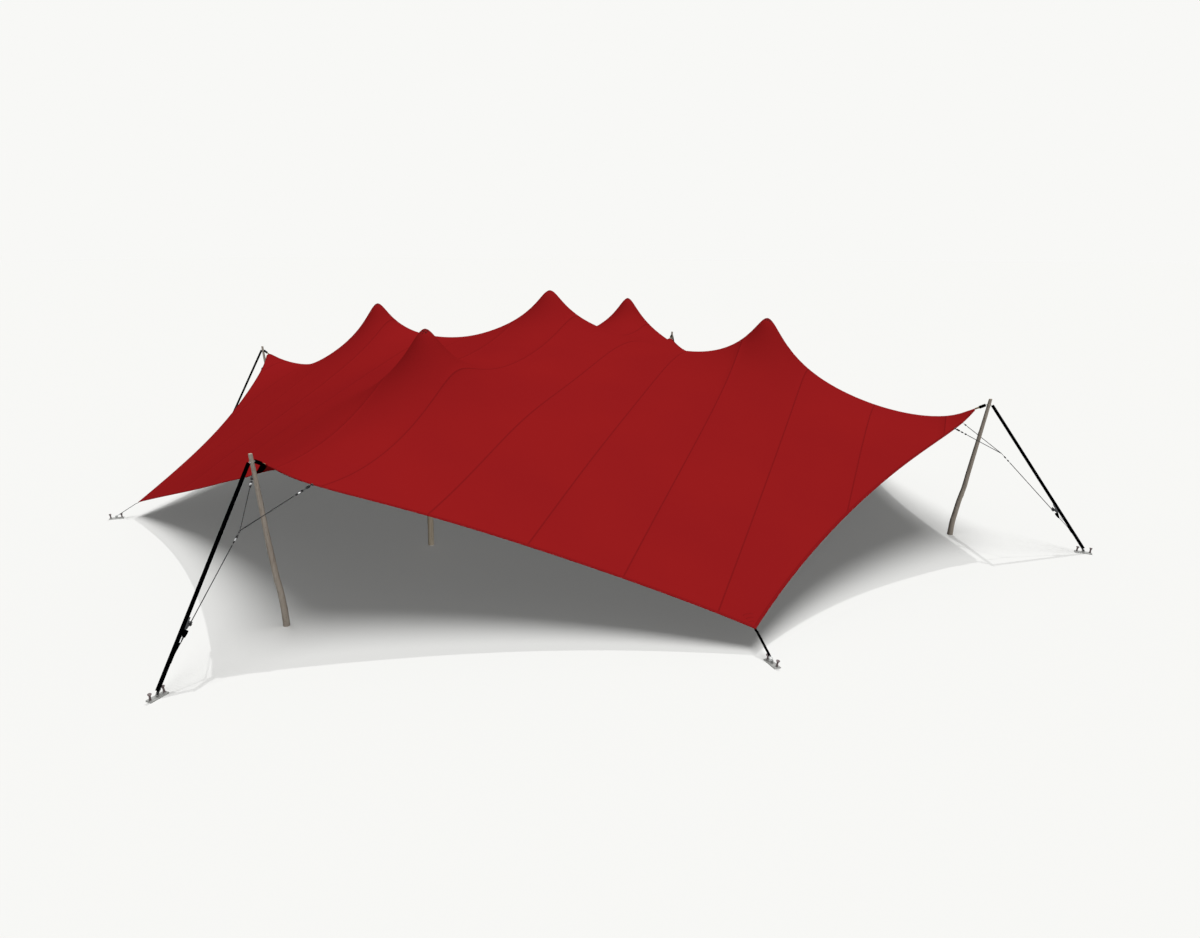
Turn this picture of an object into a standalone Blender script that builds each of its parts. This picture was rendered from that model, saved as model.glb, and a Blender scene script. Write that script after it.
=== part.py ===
"""A freeform stretch tent: one tensioned sheet sewn from parallel panels, with eight points.

Every second point is hauled up to a leaning outer pole, and the four between are tied down to
the ground. Five inner poles push peaks into the sheet. Metres, +Z up, origin on the ground
under the centre pole, the front high point on -Y and the seams along Y.
"""

import math

import bmesh
import bpy
import numpy as np
from mathutils import Matrix, Vector
from mathutils.bvhtree import BVHTree

# Poles
CENTRE_HEIGHT = 5.0
INNER_HEIGHT = 4.5
INNER_REACH = 5.54
INNER_RADIUS = 0.0625
HEAD_RADIUS = 0.11
HEAD_DEPTH = 0.17
HEAD_TAPER = 0.05
OUTER_HEIGHT = 3.015
OUTER_FOOT_REACH = 9.67
OUTER_TOP_REACH = 10.15
OUTER_FOOT_RADIUS = 0.060
OUTER_TOP_RADIUS = 0.035
POLE_SIDES = 12
STRAIGHT_ABOVE = 2.4
POLE_TOP_ROUNDING = 0.012

# The free edge of the sheet, from a high point to the next low point
HIGH_REACH = 9.939
HIGH_LEVEL = 2.795
LOW_REACH = 7.049
LOW_LEVEL = 0.345
EDGE_SCALLOP = (0.399, 0.032, -0.037)
EDGE_DROOP = (-0.189, 0.134, -0.085)
TIP_REACH = 9.88

# How the sheet falls away from each pole and from each high point
CENTRE_PULL = 0.574
CENTRE_ROUNDING = 0.250
INNER_PULL = 0.687
INNER_ROUNDING = 0.243
HIGH_PULL = 0.211
HIGH_ROUNDING = 0.181
FILM_TERMS = 5
SWELL_TERMS = 3
TENSION_RADIUS = 10.0

# Sheet
PANEL_WIDTH = 1.44
CLOTH = 0.004
GAP = 0.0003

# Lines of the sheet's mesh, closer where a pole or a point of the rim shapes it
ROW_STEP = 0.62
POLE_ROWS = [0.14, 0.36, 0.8]
BAY_ROWS = [1.6, 2.4, 3.2, 4.0]
CENTRE_COLUMNS = [-0.36, -0.14, 0.0, 0.14, 0.36]
INNER_COLUMNS = [5.28, 5.42, INNER_REACH, 5.66, 5.8, 6.1]
LOW_COLUMNS = [6.8, LOW_REACH, 7.13, 7.25, 7.5]
TIP_ROWS = (0.30, 0.13)
TIP_COLUMNS = [9.62, 9.76]
COLUMNS_EACH = 3

# Where the sheet's rim is searched for: inside it, outside it and above it
RIM_INSIDE = 8.5
RIM_OUTSIDE = 10.5
RIM_HALVINGS = 30
RIM_STEP = 0.02
SKY = 9.0

# Ground anchors
PLATE = (0.30, 0.11, 0.018)
STAY_ANCHOR_REACH = 12.10
CORNER_ANCHOR_REACH = 7.384
BEDDING = 0.005
STAKE_RADIUS = 0.018
STAKE_SIDES = 10
STAKE_HEAD_RADIUS = 0.031
STAKE_HEAD = [(-0.012, 0.7), (-0.004, 1.0), (0.007, 0.75)]
STAKE_HEIGHT = 0.11
SHORT_STAKE_HEIGHT = 0.08
STAKE_OFFSET = 0.114
STAKE_LEAN = 0.025
LUG = (0.056, 0.012)
LUG_HEIGHT = 0.074
LUG_PIN_LEVEL = 0.056

# Stay straps, their collars and the slings at the high points: widths and thicknesses, and how
# far a strap's middle lies outside the line from its pin to its collar
STRAP = (0.038, 0.060)
STRAP_OUT = 0.016
STRAP_START = 0.035
SLING_END = 0.020
COLLAR_LEVEL = 2.89
COLLAR_HEIGHT = 0.024
COLLAR_THICKNESS = 0.008
COLLAR_LINK = (0.030, 0.008)
TIP_ROPE_RADIUS = 0.013
TIP_ROPE_LENGTH = 0.07
TIP_JAW = (0.05, 0.07, 0.022)

# Corner ties and the clevises at the anchors
TIE = (0.034, 0.006)
TIE_START = 0.07
CORNER_JAW = (0.045, 0.06, 0.020)
CLEVIS_CHEEK = (0.008, 0.030)
CLEVIS_REACH = (-0.016, 0.062)
CLEVIS_NECK = (0.044, 0.064, 0.024)
CLEVIS_BAR = (0.060, 0.084, 0.018)
CLEVIS_MARGIN = 0.006

# Bridles
LINE_RADIUS = 0.005
CLAMP = (0.045, 0.06, 0.032)
CLAMP_ASIDE = 0.63
CLAMP_BITE = 0.6
JUNCTION = (10.46, 1.89)
JUNCTION_PLATE = (0.13, 0.034, 0.020)
RATCHET_TOP = (11.46, 0.84)
RATCHET_END = (11.58, 0.70)
RATCHET = (0.060, 0.045)
RATCHET_WEBBING = (0.030, 0.005)
MERGE_LEVEL = 0.505
MERGE_BUCKLE = (0.060, 0.070, 0.012)

# Crooks of the natural outer poles: height, sideways and radial offset of each bend
CROOKS = {
    "front": [(0.25, 0.016, 0.008), (0.65, 0.020, 0.010), (0.85, 0.002, 0.001), (1.60, -0.007, -0.004)],
    "right": [(0.28, -0.014, 0.028), (0.80, -0.011, 0.022), (1.10, 0.001, -0.003), (1.30, -0.001, 0.003)],
    "back": [(0.6, 0.022, 0.012), (1.3, -0.012, -0.008), (2.0, 0.008, 0.0)],
    "left": [(0.45, -0.016, 0.014), (1.2, 0.018, -0.010), (1.95, -0.010, 0.004)],
}

SIDES = ("front", "right", "back", "left")
CORNERS = ("front_right", "back_right", "back_left", "front_left")


def srgb(text):
    values = [int(text[i:i + 2], 16) / 255 for i in (0, 2, 4)]
    return [v / 12.92 if v <= 0.04045 else ((v + 0.055) / 1.055) ** 2.4 for v in values] + [1.0]


def material(name, colour, roughness, metallic=0.0):
    made = bpy.data.materials.new(name)
    made.use_nodes = True
    shader = made.node_tree.nodes["Principled BSDF"]
    shader.inputs["Base Color"].default_value = srgb(colour)
    shader.inputs["Roughness"].default_value = roughness
    shader.inputs["Metallic"].default_value = metallic
    return made


def mesh_object(name, points, faces, finish=None):
    """One closed body from points and faces, with its normals turned outwards."""
    mesh = bpy.data.meshes.new(name)
    mesh.from_pydata([tuple(p) for p in points], [], faces)
    work = bmesh.new()
    work.from_mesh(mesh)
    bmesh.ops.recalc_face_normals(work, faces=work.faces)
    work.to_mesh(mesh)
    work.free()
    if finish:
        mesh.materials.append(finish)
    made = bpy.data.objects.new(name, mesh)
    bpy.context.scene.collection.objects.link(made)
    return made


def loft(rings, closed=False):
    """A solid through equal rings of points: capped at both ends, or closed on itself."""
    count = len(rings[0])
    points = [p for ring in rings for p in ring]
    faces = []
    for i in range(len(rings) if closed else len(rings) - 1):
        here = i * count
        there = (i + 1) % len(rings) * count
        for j in range(count):
            k = (j + 1) % count
            faces.append((here + j, here + k, there + k, there + j))
    if not closed:
        faces.append(tuple(range(count))[::-1])
        faces.append(tuple(range(len(points) - count, len(points))))
    return mesh_object("piece", points, faces)


def level_ring(centre, radius, sides=POLE_SIDES):
    turns = [2 * math.pi * (i + 0.5) / sides for i in range(sides)]
    x, y, z = centre
    return [(x + radius * math.cos(a), y + radius * math.sin(a), z) for a in turns]


def across_ring(centre, along, radius, sides):
    side = along.orthogonal().normalized()
    other = along.cross(side).normalized()
    turns = [2 * math.pi * i / sides for i in range(sides)]
    return [centre + radius * (math.cos(a) * side + math.sin(a) * other) for a in turns]


def rod(start, end, radius, sides=8):
    start, end = Vector(start), Vector(end)
    along = (end - start).normalized()
    return loft([across_ring(p, along, radius, sides) for p in (start, end)])


def bar(start, end, side, width, thickness):
    """A flat bar from start to end, its width along side."""
    start, end = Vector(start), Vector(end)
    along = (end - start).normalized()
    across = (Vector(side) - Vector(side).dot(along) * along).normalized() * width / 2
    up = along.cross(across).normalized() * thickness / 2
    return loft([[p + across + up, p - across + up, p - across - up, p + across - up]
                 for p in (start, end)])


def combine(base, tool, operation):
    """Joins tool to base, or cuts it away, and removes tool."""
    step = base.modifiers.new("combine", "BOOLEAN")
    step.operation = operation
    step.solver = "EXACT"
    step.object = tool
    seen = base.evaluated_get(bpy.context.evaluated_depsgraph_get())
    result = bpy.data.meshes.new_from_object(seen)
    base.modifiers.clear()
    base.data = result
    bpy.data.objects.remove(tool)
    return base


def fuse(name, pieces, finish):
    body = pieces[0]
    for piece in pieces[1:]:
        combine(body, piece, "UNION")
    body.name = name
    body.data.name = name
    body.data.materials.clear()
    body.data.materials.append(finish)
    return body


def quarter_turn(point, turns):
    """The place of a point on the front side after quarter turns to the right, back or left."""
    return Matrix.Rotation(turns * math.pi / 2, 3, "Z") @ Vector(point)


def fall(away, pull, rounding):
    """How far the sheet falls over a distance in plan from a pole or a high point."""
    return pull / 2 * np.log1p((away / rounding) ** 2)


def edge_curve(steps=200):
    """The free edge from the front high point to the front right low point."""
    s = np.linspace(0, 1, steps + 1)
    start = np.array([0.0, -HIGH_REACH])
    end = np.array([LOW_REACH, -LOW_REACH])
    run = end - start
    length = np.hypot(*run)
    inward = np.array([-run[1], run[0]]) / length
    swell = 4 * s * (1 - s)
    half = 2 * s - 1
    scallop = swell * np.polynomial.polynomial.polyval(half, EDGE_SCALLOP)
    droop = swell * np.polynomial.polynomial.polyval(half, EDGE_DROOP)
    cusp = s * fall(length, HIGH_PULL, HIGH_ROUNDING) - fall(s * length, HIGH_PULL, HIGH_ROUNDING)
    plan = start + s[:, None] * run + scallop[:, None] * inward
    return np.column_stack([plan, HIGH_LEVEL + s * (LOW_LEVEL - HIGH_LEVEL) - droop + cusp])


def four_places(reach):
    return [(0, -reach), (reach, 0), (0, reach), (-reach, 0)]


EDGE = edge_curve()
INNER_PLACES = four_places(INNER_REACH)
HIGH_PLACES = four_places(HIGH_REACH)


def peaks(x, y):
    """The sheet's fall away from the five inner poles and the four high points."""
    level = -fall(np.hypot(x, y), CENTRE_PULL, CENTRE_ROUNDING)
    for a, b in INNER_PLACES:
        level = level - fall(np.hypot(x - a, y - b), INNER_PULL, INNER_ROUNDING)
    for a, b in HIGH_PLACES:
        level = level - fall(np.hypot(x - a, y - b), HIGH_PULL, HIGH_ROUNDING)
    return level


def tension_terms(x, y):
    """Smooth shapes with the tent's own fourfold symmetry: those of a film, then swelling ones."""
    place = (x + 1j * y) / TENSION_RADIUS
    film = [(place ** (4 * n)).real for n in range(FILM_TERMS)]
    swell = [abs(place) ** 2 * shape for shape in film[:SWELL_TERMS]]
    return np.array(film + swell)


def fit_tension():
    """The share of each shape that meets the free edge and the pole tops."""
    pole_weight = 300.0
    known = [(x, y, z, 1.0) for x, y, z in EDGE[::5]]
    known += [(0.0, 0.0, CENTRE_HEIGHT, pole_weight), (0.0, -INNER_REACH, INNER_HEIGHT, pole_weight)]
    rows = [weight * tension_terms(x, y) for x, y, _, weight in known]
    wanted = [weight * (z - peaks(x, y)) for x, y, z, weight in known]
    return np.linalg.lstsq(np.array(rows), np.array(wanted), rcond=None)[0]


TENSION = fit_tension()


def sheet_height(x, y):
    return float(peaks(x, y) + TENSION @ tension_terms(x, y))


def rim_reach(x):
    """How far the sheet reaches each way along Y on the line at x."""
    x = abs(x)
    if x <= LOW_REACH:
        return min(TIP_REACH, float(np.interp(x, EDGE[:, 0], -EDGE[:, 1])))
    return float(np.interp(x, -EDGE[::-1, 1], EDGE[::-1, 0]))


def spread(start, end, step):
    """Evenly spaced values from start to end, about step apart, without the end."""
    count = max(1, round(abs(end - start) / step))
    return [start + (end - start) * i / count for i in range(count)]


def panel_columns(index):
    """The lines along Y of one panel, closer where a pole or a low point shapes the sheet."""
    low = (index - 0.5) * PANEL_WIDTH
    high = min(low + PANEL_WIDTH, TIP_REACH)
    wanted = spread(low, high, PANEL_WIDTH / COLUMNS_EACH) + [high]
    if index == 0:
        wanted = [low, *CENTRE_COLUMNS, high]
    elif low < INNER_REACH < high:
        wanted = [low, *INNER_COLUMNS, high]
    elif low < LOW_REACH < high:
        wanted = [low, *LOW_COLUMNS, high]
    elif high == TIP_REACH:
        wanted = [low, *TIP_COLUMNS, high]
    wanted[0] += GAP / 2
    wanted[-1] -= GAP / 2 if high < TIP_REACH else 0.0
    return wanted


def panel_rows(index, x):
    """The places along Y of one line of the sheet, from front to back."""
    inner = [0.0]
    if index == 0:
        inner += POLE_ROWS + BAY_ROWS + [INNER_REACH - d for d in POLE_ROWS[::-1]]
        inner += [INNER_REACH] + [INNER_REACH + d for d in POLE_ROWS]
    elif (index - 0.5) * PANEL_WIDTH < INNER_REACH < (index + 0.5) * PANEL_WIDTH:
        inner += POLE_ROWS
    middle = min((index + 0.5) * PANEL_WIDTH, LOW_REACH) if index < 5 else index * PANEL_WIDTH
    count = max(2, round((rim_reach(middle) - inner[-1]) / ROW_STEP))
    reach = rim_reach(x)
    half = inner + [inner[-1] + (reach - inner[-1]) * (i + 1) / count for i in range(count)]
    if index == 0:
        half[-1:] = [reach - d for d in TIP_ROWS] + [reach]
    return [-y for y in half[:0:-1]] + half


def panel_points(index):
    side = -1 if index < 0 else 1
    columns = [side * x for x in panel_columns(abs(index))]
    return [[(x, y, sheet_height(x, y)) for y in panel_rows(abs(index), x)] for x in columns]


def lengthened(line, grow):
    """A line of sheet points whose ends run on past the rim by a distance in plan."""
    ends = [Vector(line[0]), Vector(line[-1])]
    runs = [end - Vector(near) for end, near in zip(ends, (line[1], line[-2]))]
    first, last = (tuple(end + run * grow / abs(run.y)) for end, run in zip(ends, runs))
    return [first, *line[1:-1], last]


def sheet_solid(name, grid, above=0.0, below=CLOTH, finish=None):
    """A slab over a grid of sheet points, from below the sheet to above it."""
    columns, rows = len(grid), len(grid[0])
    points = [(x, y, z + lift) for lift in (above, -below) for line in grid for x, y, z in line]
    under = columns * rows

    def at(i, j):
        return i * rows + j

    faces = []
    for i in range(columns - 1):
        for j in range(rows - 1):
            a, b, c, d = at(i, j), at(i + 1, j), at(i + 1, j + 1), at(i, j + 1)
            x = grid[i][j][0] + grid[i + 1][j][0]
            y = grid[i][j][1] + grid[i][j + 1][1]
            halves = [(a, b, c), (a, c, d)] if x * y > 0 else [(a, b, d), (b, c, d)]
            faces += halves + [tuple(under + p for p in half[::-1]) for half in halves]
    rim = [at(i, 0) for i in range(columns)] + [at(columns - 1, j) for j in range(1, rows)]
    rim += [at(i, rows - 1) for i in range(columns - 2, -1, -1)]
    rim += [at(0, j) for j in range(rows - 2, 0, -1)]
    for k, a in enumerate(rim):
        b = rim[(k + 1) % len(rim)]
        faces.append((a, b, under + b, under + a))
    return mesh_object(name, points, faces, finish)


def build_canopy(finish):
    """The sewn panels from left to right, and a search tree of their upper faces."""
    last = int((TIP_REACH / PANEL_WIDTH) + 0.5)
    grids = {index: panel_points(index) for index in range(-last, last + 1)}
    tops, triangles = [], []
    for number, index in enumerate(sorted(grids)):
        panel = sheet_solid(f"canopy_panel_{number + 1:02d}", grids[index], finish=finish)
        panel.data.calc_loop_triangles()
        base = len(tops)
        tops += [v.co.copy() for v in panel.data.vertices]
        triangles += [tuple(base + v for v in t.vertices) for t in panel.data.loop_triangles]
    return grids, BVHTree.FromPolygons(tops, triangles)


def above_sheet(tree, x, y):
    """The point and the normal of the sheet's upper face at a place in plan, or None."""
    point, normal, _, _ = tree.ray_cast(Vector((x, y, SKY)), Vector((0, 0, -1)))
    return (point, normal) if point else None


def rim_point(tree, aside, turns):
    """The outermost point of the sheet on a line beside a high point, running outwards."""
    inside, outside = RIM_INSIDE, RIM_OUTSIDE
    for _ in range(RIM_HALVINGS):
        middle = (inside + outside) / 2
        x, y, _ = quarter_turn((aside, -middle, 0), turns)
        if above_sheet(tree, x, y):
            inside = middle
        else:
            outside = middle
    x, y, _ = quarter_turn((aside, -inside, 0), turns)
    return above_sheet(tree, x, y)


def grid_near(grids, x):
    """The grid of the panel that the line at x crosses."""
    return grids[round(x / PANEL_WIDTH)]


def build_inner_pole(name, place, height, grids, finish):
    """A straight pole with a padded head that fills the peak under the sheet."""
    x, y = place
    profile = [
        (0.0, INNER_RADIUS),
        (height - HEAD_DEPTH - HEAD_TAPER, INNER_RADIUS),
        (height - HEAD_DEPTH, HEAD_RADIUS),
        (height + HEAD_TAPER, HEAD_RADIUS),
    ]
    pole = loft([level_ring((x, y, z), r) for z, r in profile])
    air = sheet_solid("air", grid_near(grids, x), above=HEAD_DEPTH, below=CLOTH + GAP)
    combine(pole, air, "DIFFERENCE")
    return fuse(name, [pole], finish)


def outer_pole_centre(side, level):
    """The middle of a leaning, crooked outer pole at a height, on the front side."""
    share = level / OUTER_HEIGHT
    bends = [(0.0, 0.0, 0.0)] + CROOKS[side] + [(STRAIGHT_ABOVE, 0.0, 0.0)]
    heights = [b[0] for b in bends]
    sideways = float(np.interp(level, heights, [b[1] for b in bends]))
    radial = float(np.interp(level, heights, [b[2] for b in bends]))
    reach = OUTER_FOOT_REACH + share * (OUTER_TOP_REACH - OUTER_FOOT_REACH)
    return Vector((sideways, -reach + radial, level))


def outer_pole_radius(level):
    return OUTER_FOOT_RADIUS + (OUTER_TOP_RADIUS - OUTER_FOOT_RADIUS) * level / OUTER_HEIGHT


def outer_ring(side, turns, level, extra=0.0):
    radius = outer_pole_radius(level) + extra
    ring = level_ring(outer_pole_centre(side, level), radius)
    return [quarter_turn(p, turns) for p in ring]


def build_outer_pole(side, turns, finish):
    levels = [0.0] + [b[0] for b in CROOKS[side]] + [STRAIGHT_ABOVE, OUTER_HEIGHT - POLE_TOP_ROUNDING]
    rings = [outer_ring(side, turns, level) for level in levels]
    rings.append(outer_ring(side, turns, OUTER_HEIGHT, -POLE_TOP_ROUNDING))
    return fuse(f"{side}_outer_pole", [loft(rings)], finish)


def jaw_space(grids, point):
    """The room that the sheet takes near a point, with a hair of clearance all round."""
    grid = [lengthened(line, 2 * GAP) for line in grid_near(grids, point.x)]
    return sheet_solid("room", grid, above=GAP, below=CLOTH + GAP)


def jaw(grids, point, normal, outward, size):
    """A block that grips the sheet's rim at a point, and the middle of its outer end."""
    along, deep, tall = size
    middle = point - normal * CLOTH / 2
    end = middle + outward * deep * (1 - CLAMP_BITE)
    block = bar(middle - outward * deep * CLAMP_BITE, end, outward.cross(normal), along, tall)
    combine(block, jaw_space(grids, point), "DIFFERENCE")
    return block, end


def sheet_jaw(tree, grids, aside, turns, size):
    """A jaw on the rim beside a high point, square to the rim."""
    point, normal = rim_point(tree, aside, turns)
    before, _ = rim_point(tree, aside - RIM_STEP, turns)
    after, _ = rim_point(tree, aside + RIM_STEP, turns)
    outward = (after - before).cross(normal).normalized()
    if outward.dot(quarter_turn((0, -1, 0), turns)) < 0:
        outward.negate()
    return jaw(grids, point, normal, outward, size)


def clevis(pin, up_strap, side, width):
    """Two cheeks beside an anchor's lug, joined by the bar that the webbing is sewn round."""
    thick, deep = CLEVIS_CHEEK
    apart = LUG[1] / 2 + GAP + thick / 2
    pieces = []
    for hand in (-1, 1):
        start, end = (pin + side * hand * apart + up_strap * d for d in CLEVIS_REACH)
        pieces.append(bar(start, end, side, thick, deep))
    for (low, high, deep), wide in ((CLEVIS_NECK, 2 * apart + thick), (CLEVIS_BAR, width)):
        wide += 2 * CLEVIS_MARGIN
        pieces.append(bar(pin + up_strap * low, pin + up_strap * high, side, wide, deep))
    return pieces


def build_collar(side, turns):
    """The steel band round an outer pole, with a hair of clearance from the timber."""
    low, high = COLLAR_LEVEL - COLLAR_HEIGHT / 2, COLLAR_LEVEL + COLLAR_HEIGHT / 2
    clear = GAP / math.cos(math.pi / POLE_SIDES)
    thick = clear + COLLAR_THICKNESS
    shells = [(low, clear), (low, thick), (high, thick), (high, clear)]
    return loft([outer_ring(side, turns, level, extra) for level, extra in shells], closed=True)


def sling(start, wall, across, aside=Vector()):
    """Thick webbing from a point to just short of a collar's wall, with its flat link."""
    run = (wall - start).normalized()
    end = wall - run * SLING_END
    webbing = bar(start + aside, end + aside, across, *STRAP)
    return [webbing, bar(end - run * SLING_END, wall, across, *COLLAR_LINK)]


def away_from_tent(up_strap, across, turns):
    """The direction square to a strap that leads away from the tent."""
    outward = up_strap.cross(across).normalized()
    if outward.dot(quarter_turn((0, -1, 0), turns)) < 0:
        outward.negate()
    return outward


def build_stay(side, turns, tree, grids, finish):
    """The stay over an outer pole from the sheet to its anchor; gives its pin and direction."""
    across = quarter_turn((1, 0, 0), turns)
    centre = outer_pole_centre(side, COLLAR_LEVEL)
    wall = Vector((0, outer_pole_radius(COLLAR_LEVEL) + COLLAR_THICKNESS / 2, 0))
    inner_wall = quarter_turn(centre + wall, turns)
    outer_wall = quarter_turn(centre - wall, turns)
    grip, grip_end = sheet_jaw(tree, grids, 0.0, turns, TIP_JAW)
    run = (inner_wall - grip_end).normalized()
    rope_end = grip_end + run * TIP_ROPE_LENGTH
    rope = rod(grip_end - run * TIP_ROPE_RADIUS, rope_end + run * TIP_ROPE_RADIUS, TIP_ROPE_RADIUS)

    pin = quarter_turn((0, -STAY_ANCHOR_REACH, LUG_PIN_LEVEL), turns)
    up_strap = (outer_wall - pin).normalized()
    aside = away_from_tent(up_strap, across, turns) * STRAP_OUT
    pieces = sling(pin + up_strap * STRAP_START, outer_wall, across, aside)
    pieces.append(build_collar(side, turns))
    pieces += sling(rope_end, inner_wall, across) + [rope, grip]
    pieces += clevis(pin, up_strap, across, STRAP[0])
    fuse(f"{side}_stay_strap", pieces, finish)
    return pin, up_strap


def build_bridle(side, turns, tree, grids, pin, up_strap, finish):
    """Two clamps on the edge beside a high point, their lines, and the ratchet on the strap."""
    across = quarter_turn((1, 0, 0), turns)
    junction, ratchet_top, ratchet_end = (
        quarter_turn((0, -reach, level), turns) for reach, level in (JUNCTION, RATCHET_TOP, RATCHET_END)
    )
    run = (ratchet_top - junction).normalized()
    length, wide, thick = JUNCTION_PLATE
    plate_end = junction + run * length
    pieces = [bar(junction - run * thick, plate_end, across, wide, thick)]
    for hand in (-1, 1):
        clamp, end = sheet_jaw(tree, grids, hand * CLAMP_ASIDE, turns, CLAMP)
        start = end + (end - junction).normalized() * LINE_RADIUS
        pieces += [clamp, rod(start, junction, LINE_RADIUS)]
    pieces.append(rod(plate_end - run * thick, ratchet_top + run * thick, LINE_RADIUS))
    pieces.append(bar(ratchet_top, ratchet_end, across, *RATCHET))

    inward = -away_from_tent(up_strap, across, turns)
    long, wide, thick = MERGE_BUCKLE
    half = up_strap * long / 2
    seat = pin + up_strap * (MERGE_LEVEL - pin.z) / up_strap.z
    seat += inward * (STRAP[1] / 2 - STRAP_OUT + GAP + thick / 2)
    pieces.append(bar(seat - half, seat + half, across, wide, thick))
    down = (seat - ratchet_end).normalized()
    pieces.append(bar(ratchet_end - down * thick, seat, across, *RATCHET_WEBBING))
    return fuse(f"{side}_bridle", pieces, finish)


def build_lug(base, outward, side):
    """The upright ear of an anchor, narrower above its pin."""
    half = outward * LUG[0] / 2
    up = Vector((0, 0, 1))
    flank = [(1.0, BEDDING), (0.9, LUG_PIN_LEVEL), (0.5, LUG_HEIGHT)]
    outline = [base + half * share + up * level for share, level in flank]
    outline += [base - half * share + up * level for share, level in flank[::-1]]
    return loft([[p + side * hand * LUG[1] / 2 for p in outline] for hand in (-1, 1)])


def build_stake(foot, top):
    """The part of a driven stake that stands above its plate, with its mushroomed head."""
    along = (top - foot).normalized()
    rings = [
        across_ring(top + along * d, along, STAKE_HEAD_RADIUS * share, STAKE_SIDES)
        for d, share in STAKE_HEAD
    ]
    return [rod(foot, top, STAKE_RADIUS, STAKE_SIDES), loft(rings)]


def build_anchor(name, base, outward, inner_stake, finish):
    """A steel ground plate with its lug and the heads of the two stakes driven through it."""
    length, width, thickness = PLATE
    up = Vector((0, 0, 1))
    side = up.cross(outward)
    half = outward * length / 2
    centre = base + up * thickness / 2
    pieces = [bar(centre - half, centre + half, side, width, thickness), build_lug(base, outward, side)]
    for hand, height in ((-1, inner_stake), (1, STAKE_HEIGHT)):
        foot = base + outward * hand * STAKE_OFFSET + up * BEDDING
        pieces += build_stake(foot, foot + up * height + (outward + side * hand) * STAKE_LEAN / 2)
    return fuse(name, pieces, finish)


def build_corner_tie(name, turns, tree, grids, finish):
    """The short webbing from a low point of the sheet to its ground plate."""
    outward = quarter_turn(Vector((1, -1, 0)).normalized(), turns)
    across = quarter_turn(Vector((1, 1, 0)).normalized(), turns)
    corner = quarter_turn((LOW_REACH, -LOW_REACH, 0), turns)
    inside = corner - outward * CORNER_JAW[1] / 2
    point, normal = above_sheet(tree, inside.x, inside.y)
    down_sheet = across.cross(normal).normalized()
    if down_sheet.dot(outward) < 0:
        down_sheet.negate()
    rim = point + down_sheet * CORNER_JAW[1] / 2
    grip, grip_end = jaw(grids, rim, normal, down_sheet, CORNER_JAW)
    pin = quarter_turn((CORNER_ANCHOR_REACH, -CORNER_ANCHOR_REACH, LUG_PIN_LEVEL), turns)
    up_tie = (grip_end - pin).normalized()
    tie = bar(pin + up_tie * TIE_START, grip_end - down_sheet * TIE[1], across, *TIE)
    return fuse(name, [tie, grip] + clevis(pin, up_tie, across, TIE[0]), finish)


def main():
    for thing in list(bpy.data.objects):
        bpy.data.objects.remove(thing, do_unlink=True)
    cloth = material("coated_stretch_knit", "7E1A1D", 0.7)
    straight_wood = material("varnished_gum_pole", "8C6A4A", 0.6)
    raw_wood = material("weathered_gum_pole", "8E8578", 0.8)
    webbing = material("black_polyester_webbing", "17171A", 0.8)
    steel = material("galvanised_steel", "7E7C7A", 0.5, 0.9)
    cord = material("galvanised_wire_and_ratchet", "3A3A3C", 0.45, 0.7)

    grids, tree = build_canopy(cloth)
    build_inner_pole("centre_pole", (0, 0), CENTRE_HEIGHT, grids, straight_wood)
    for turns, side in enumerate(SIDES):
        outward = quarter_turn((0, -1, 0), turns)
        build_inner_pole(f"{side}_inner_pole", INNER_PLACES[turns], INNER_HEIGHT, grids, straight_wood)
        build_outer_pole(side, turns, raw_wood)
        build_anchor(f"{side}_anchor", outward * STAY_ANCHOR_REACH, outward, STAKE_HEIGHT, steel)
        pin, up_strap = build_stay(side, turns, tree, grids, webbing)
        build_bridle(side, turns, tree, grids, pin, up_strap, cord)
    for turns, corner in enumerate(CORNERS):
        outward = quarter_turn(Vector((1, -1, 0)).normalized(), turns)
        place = outward * CORNER_ANCHOR_REACH * math.sqrt(2)
        build_anchor(f"{corner}_anchor", place, outward, SHORT_STAKE_HEIGHT, steel)
        build_corner_tie(f"{corner}_tie", turns, tree, grids, webbing)


main()
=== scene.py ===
"""Looks of a freeform stretch tent, laid out as an add-on and run as a script.

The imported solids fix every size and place. This file gives the sheet its seams, hem and
reinforcement, the poles their wood, and the rigging its webbing, rope, wire and steel. Metres.
"""

import math
from operator import itemgetter

import bmesh
import bpy
import numpy as np
from bpy.props import FloatProperty, FloatVectorProperty, IntProperty
from mathutils import Matrix, Vector, noise


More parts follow.
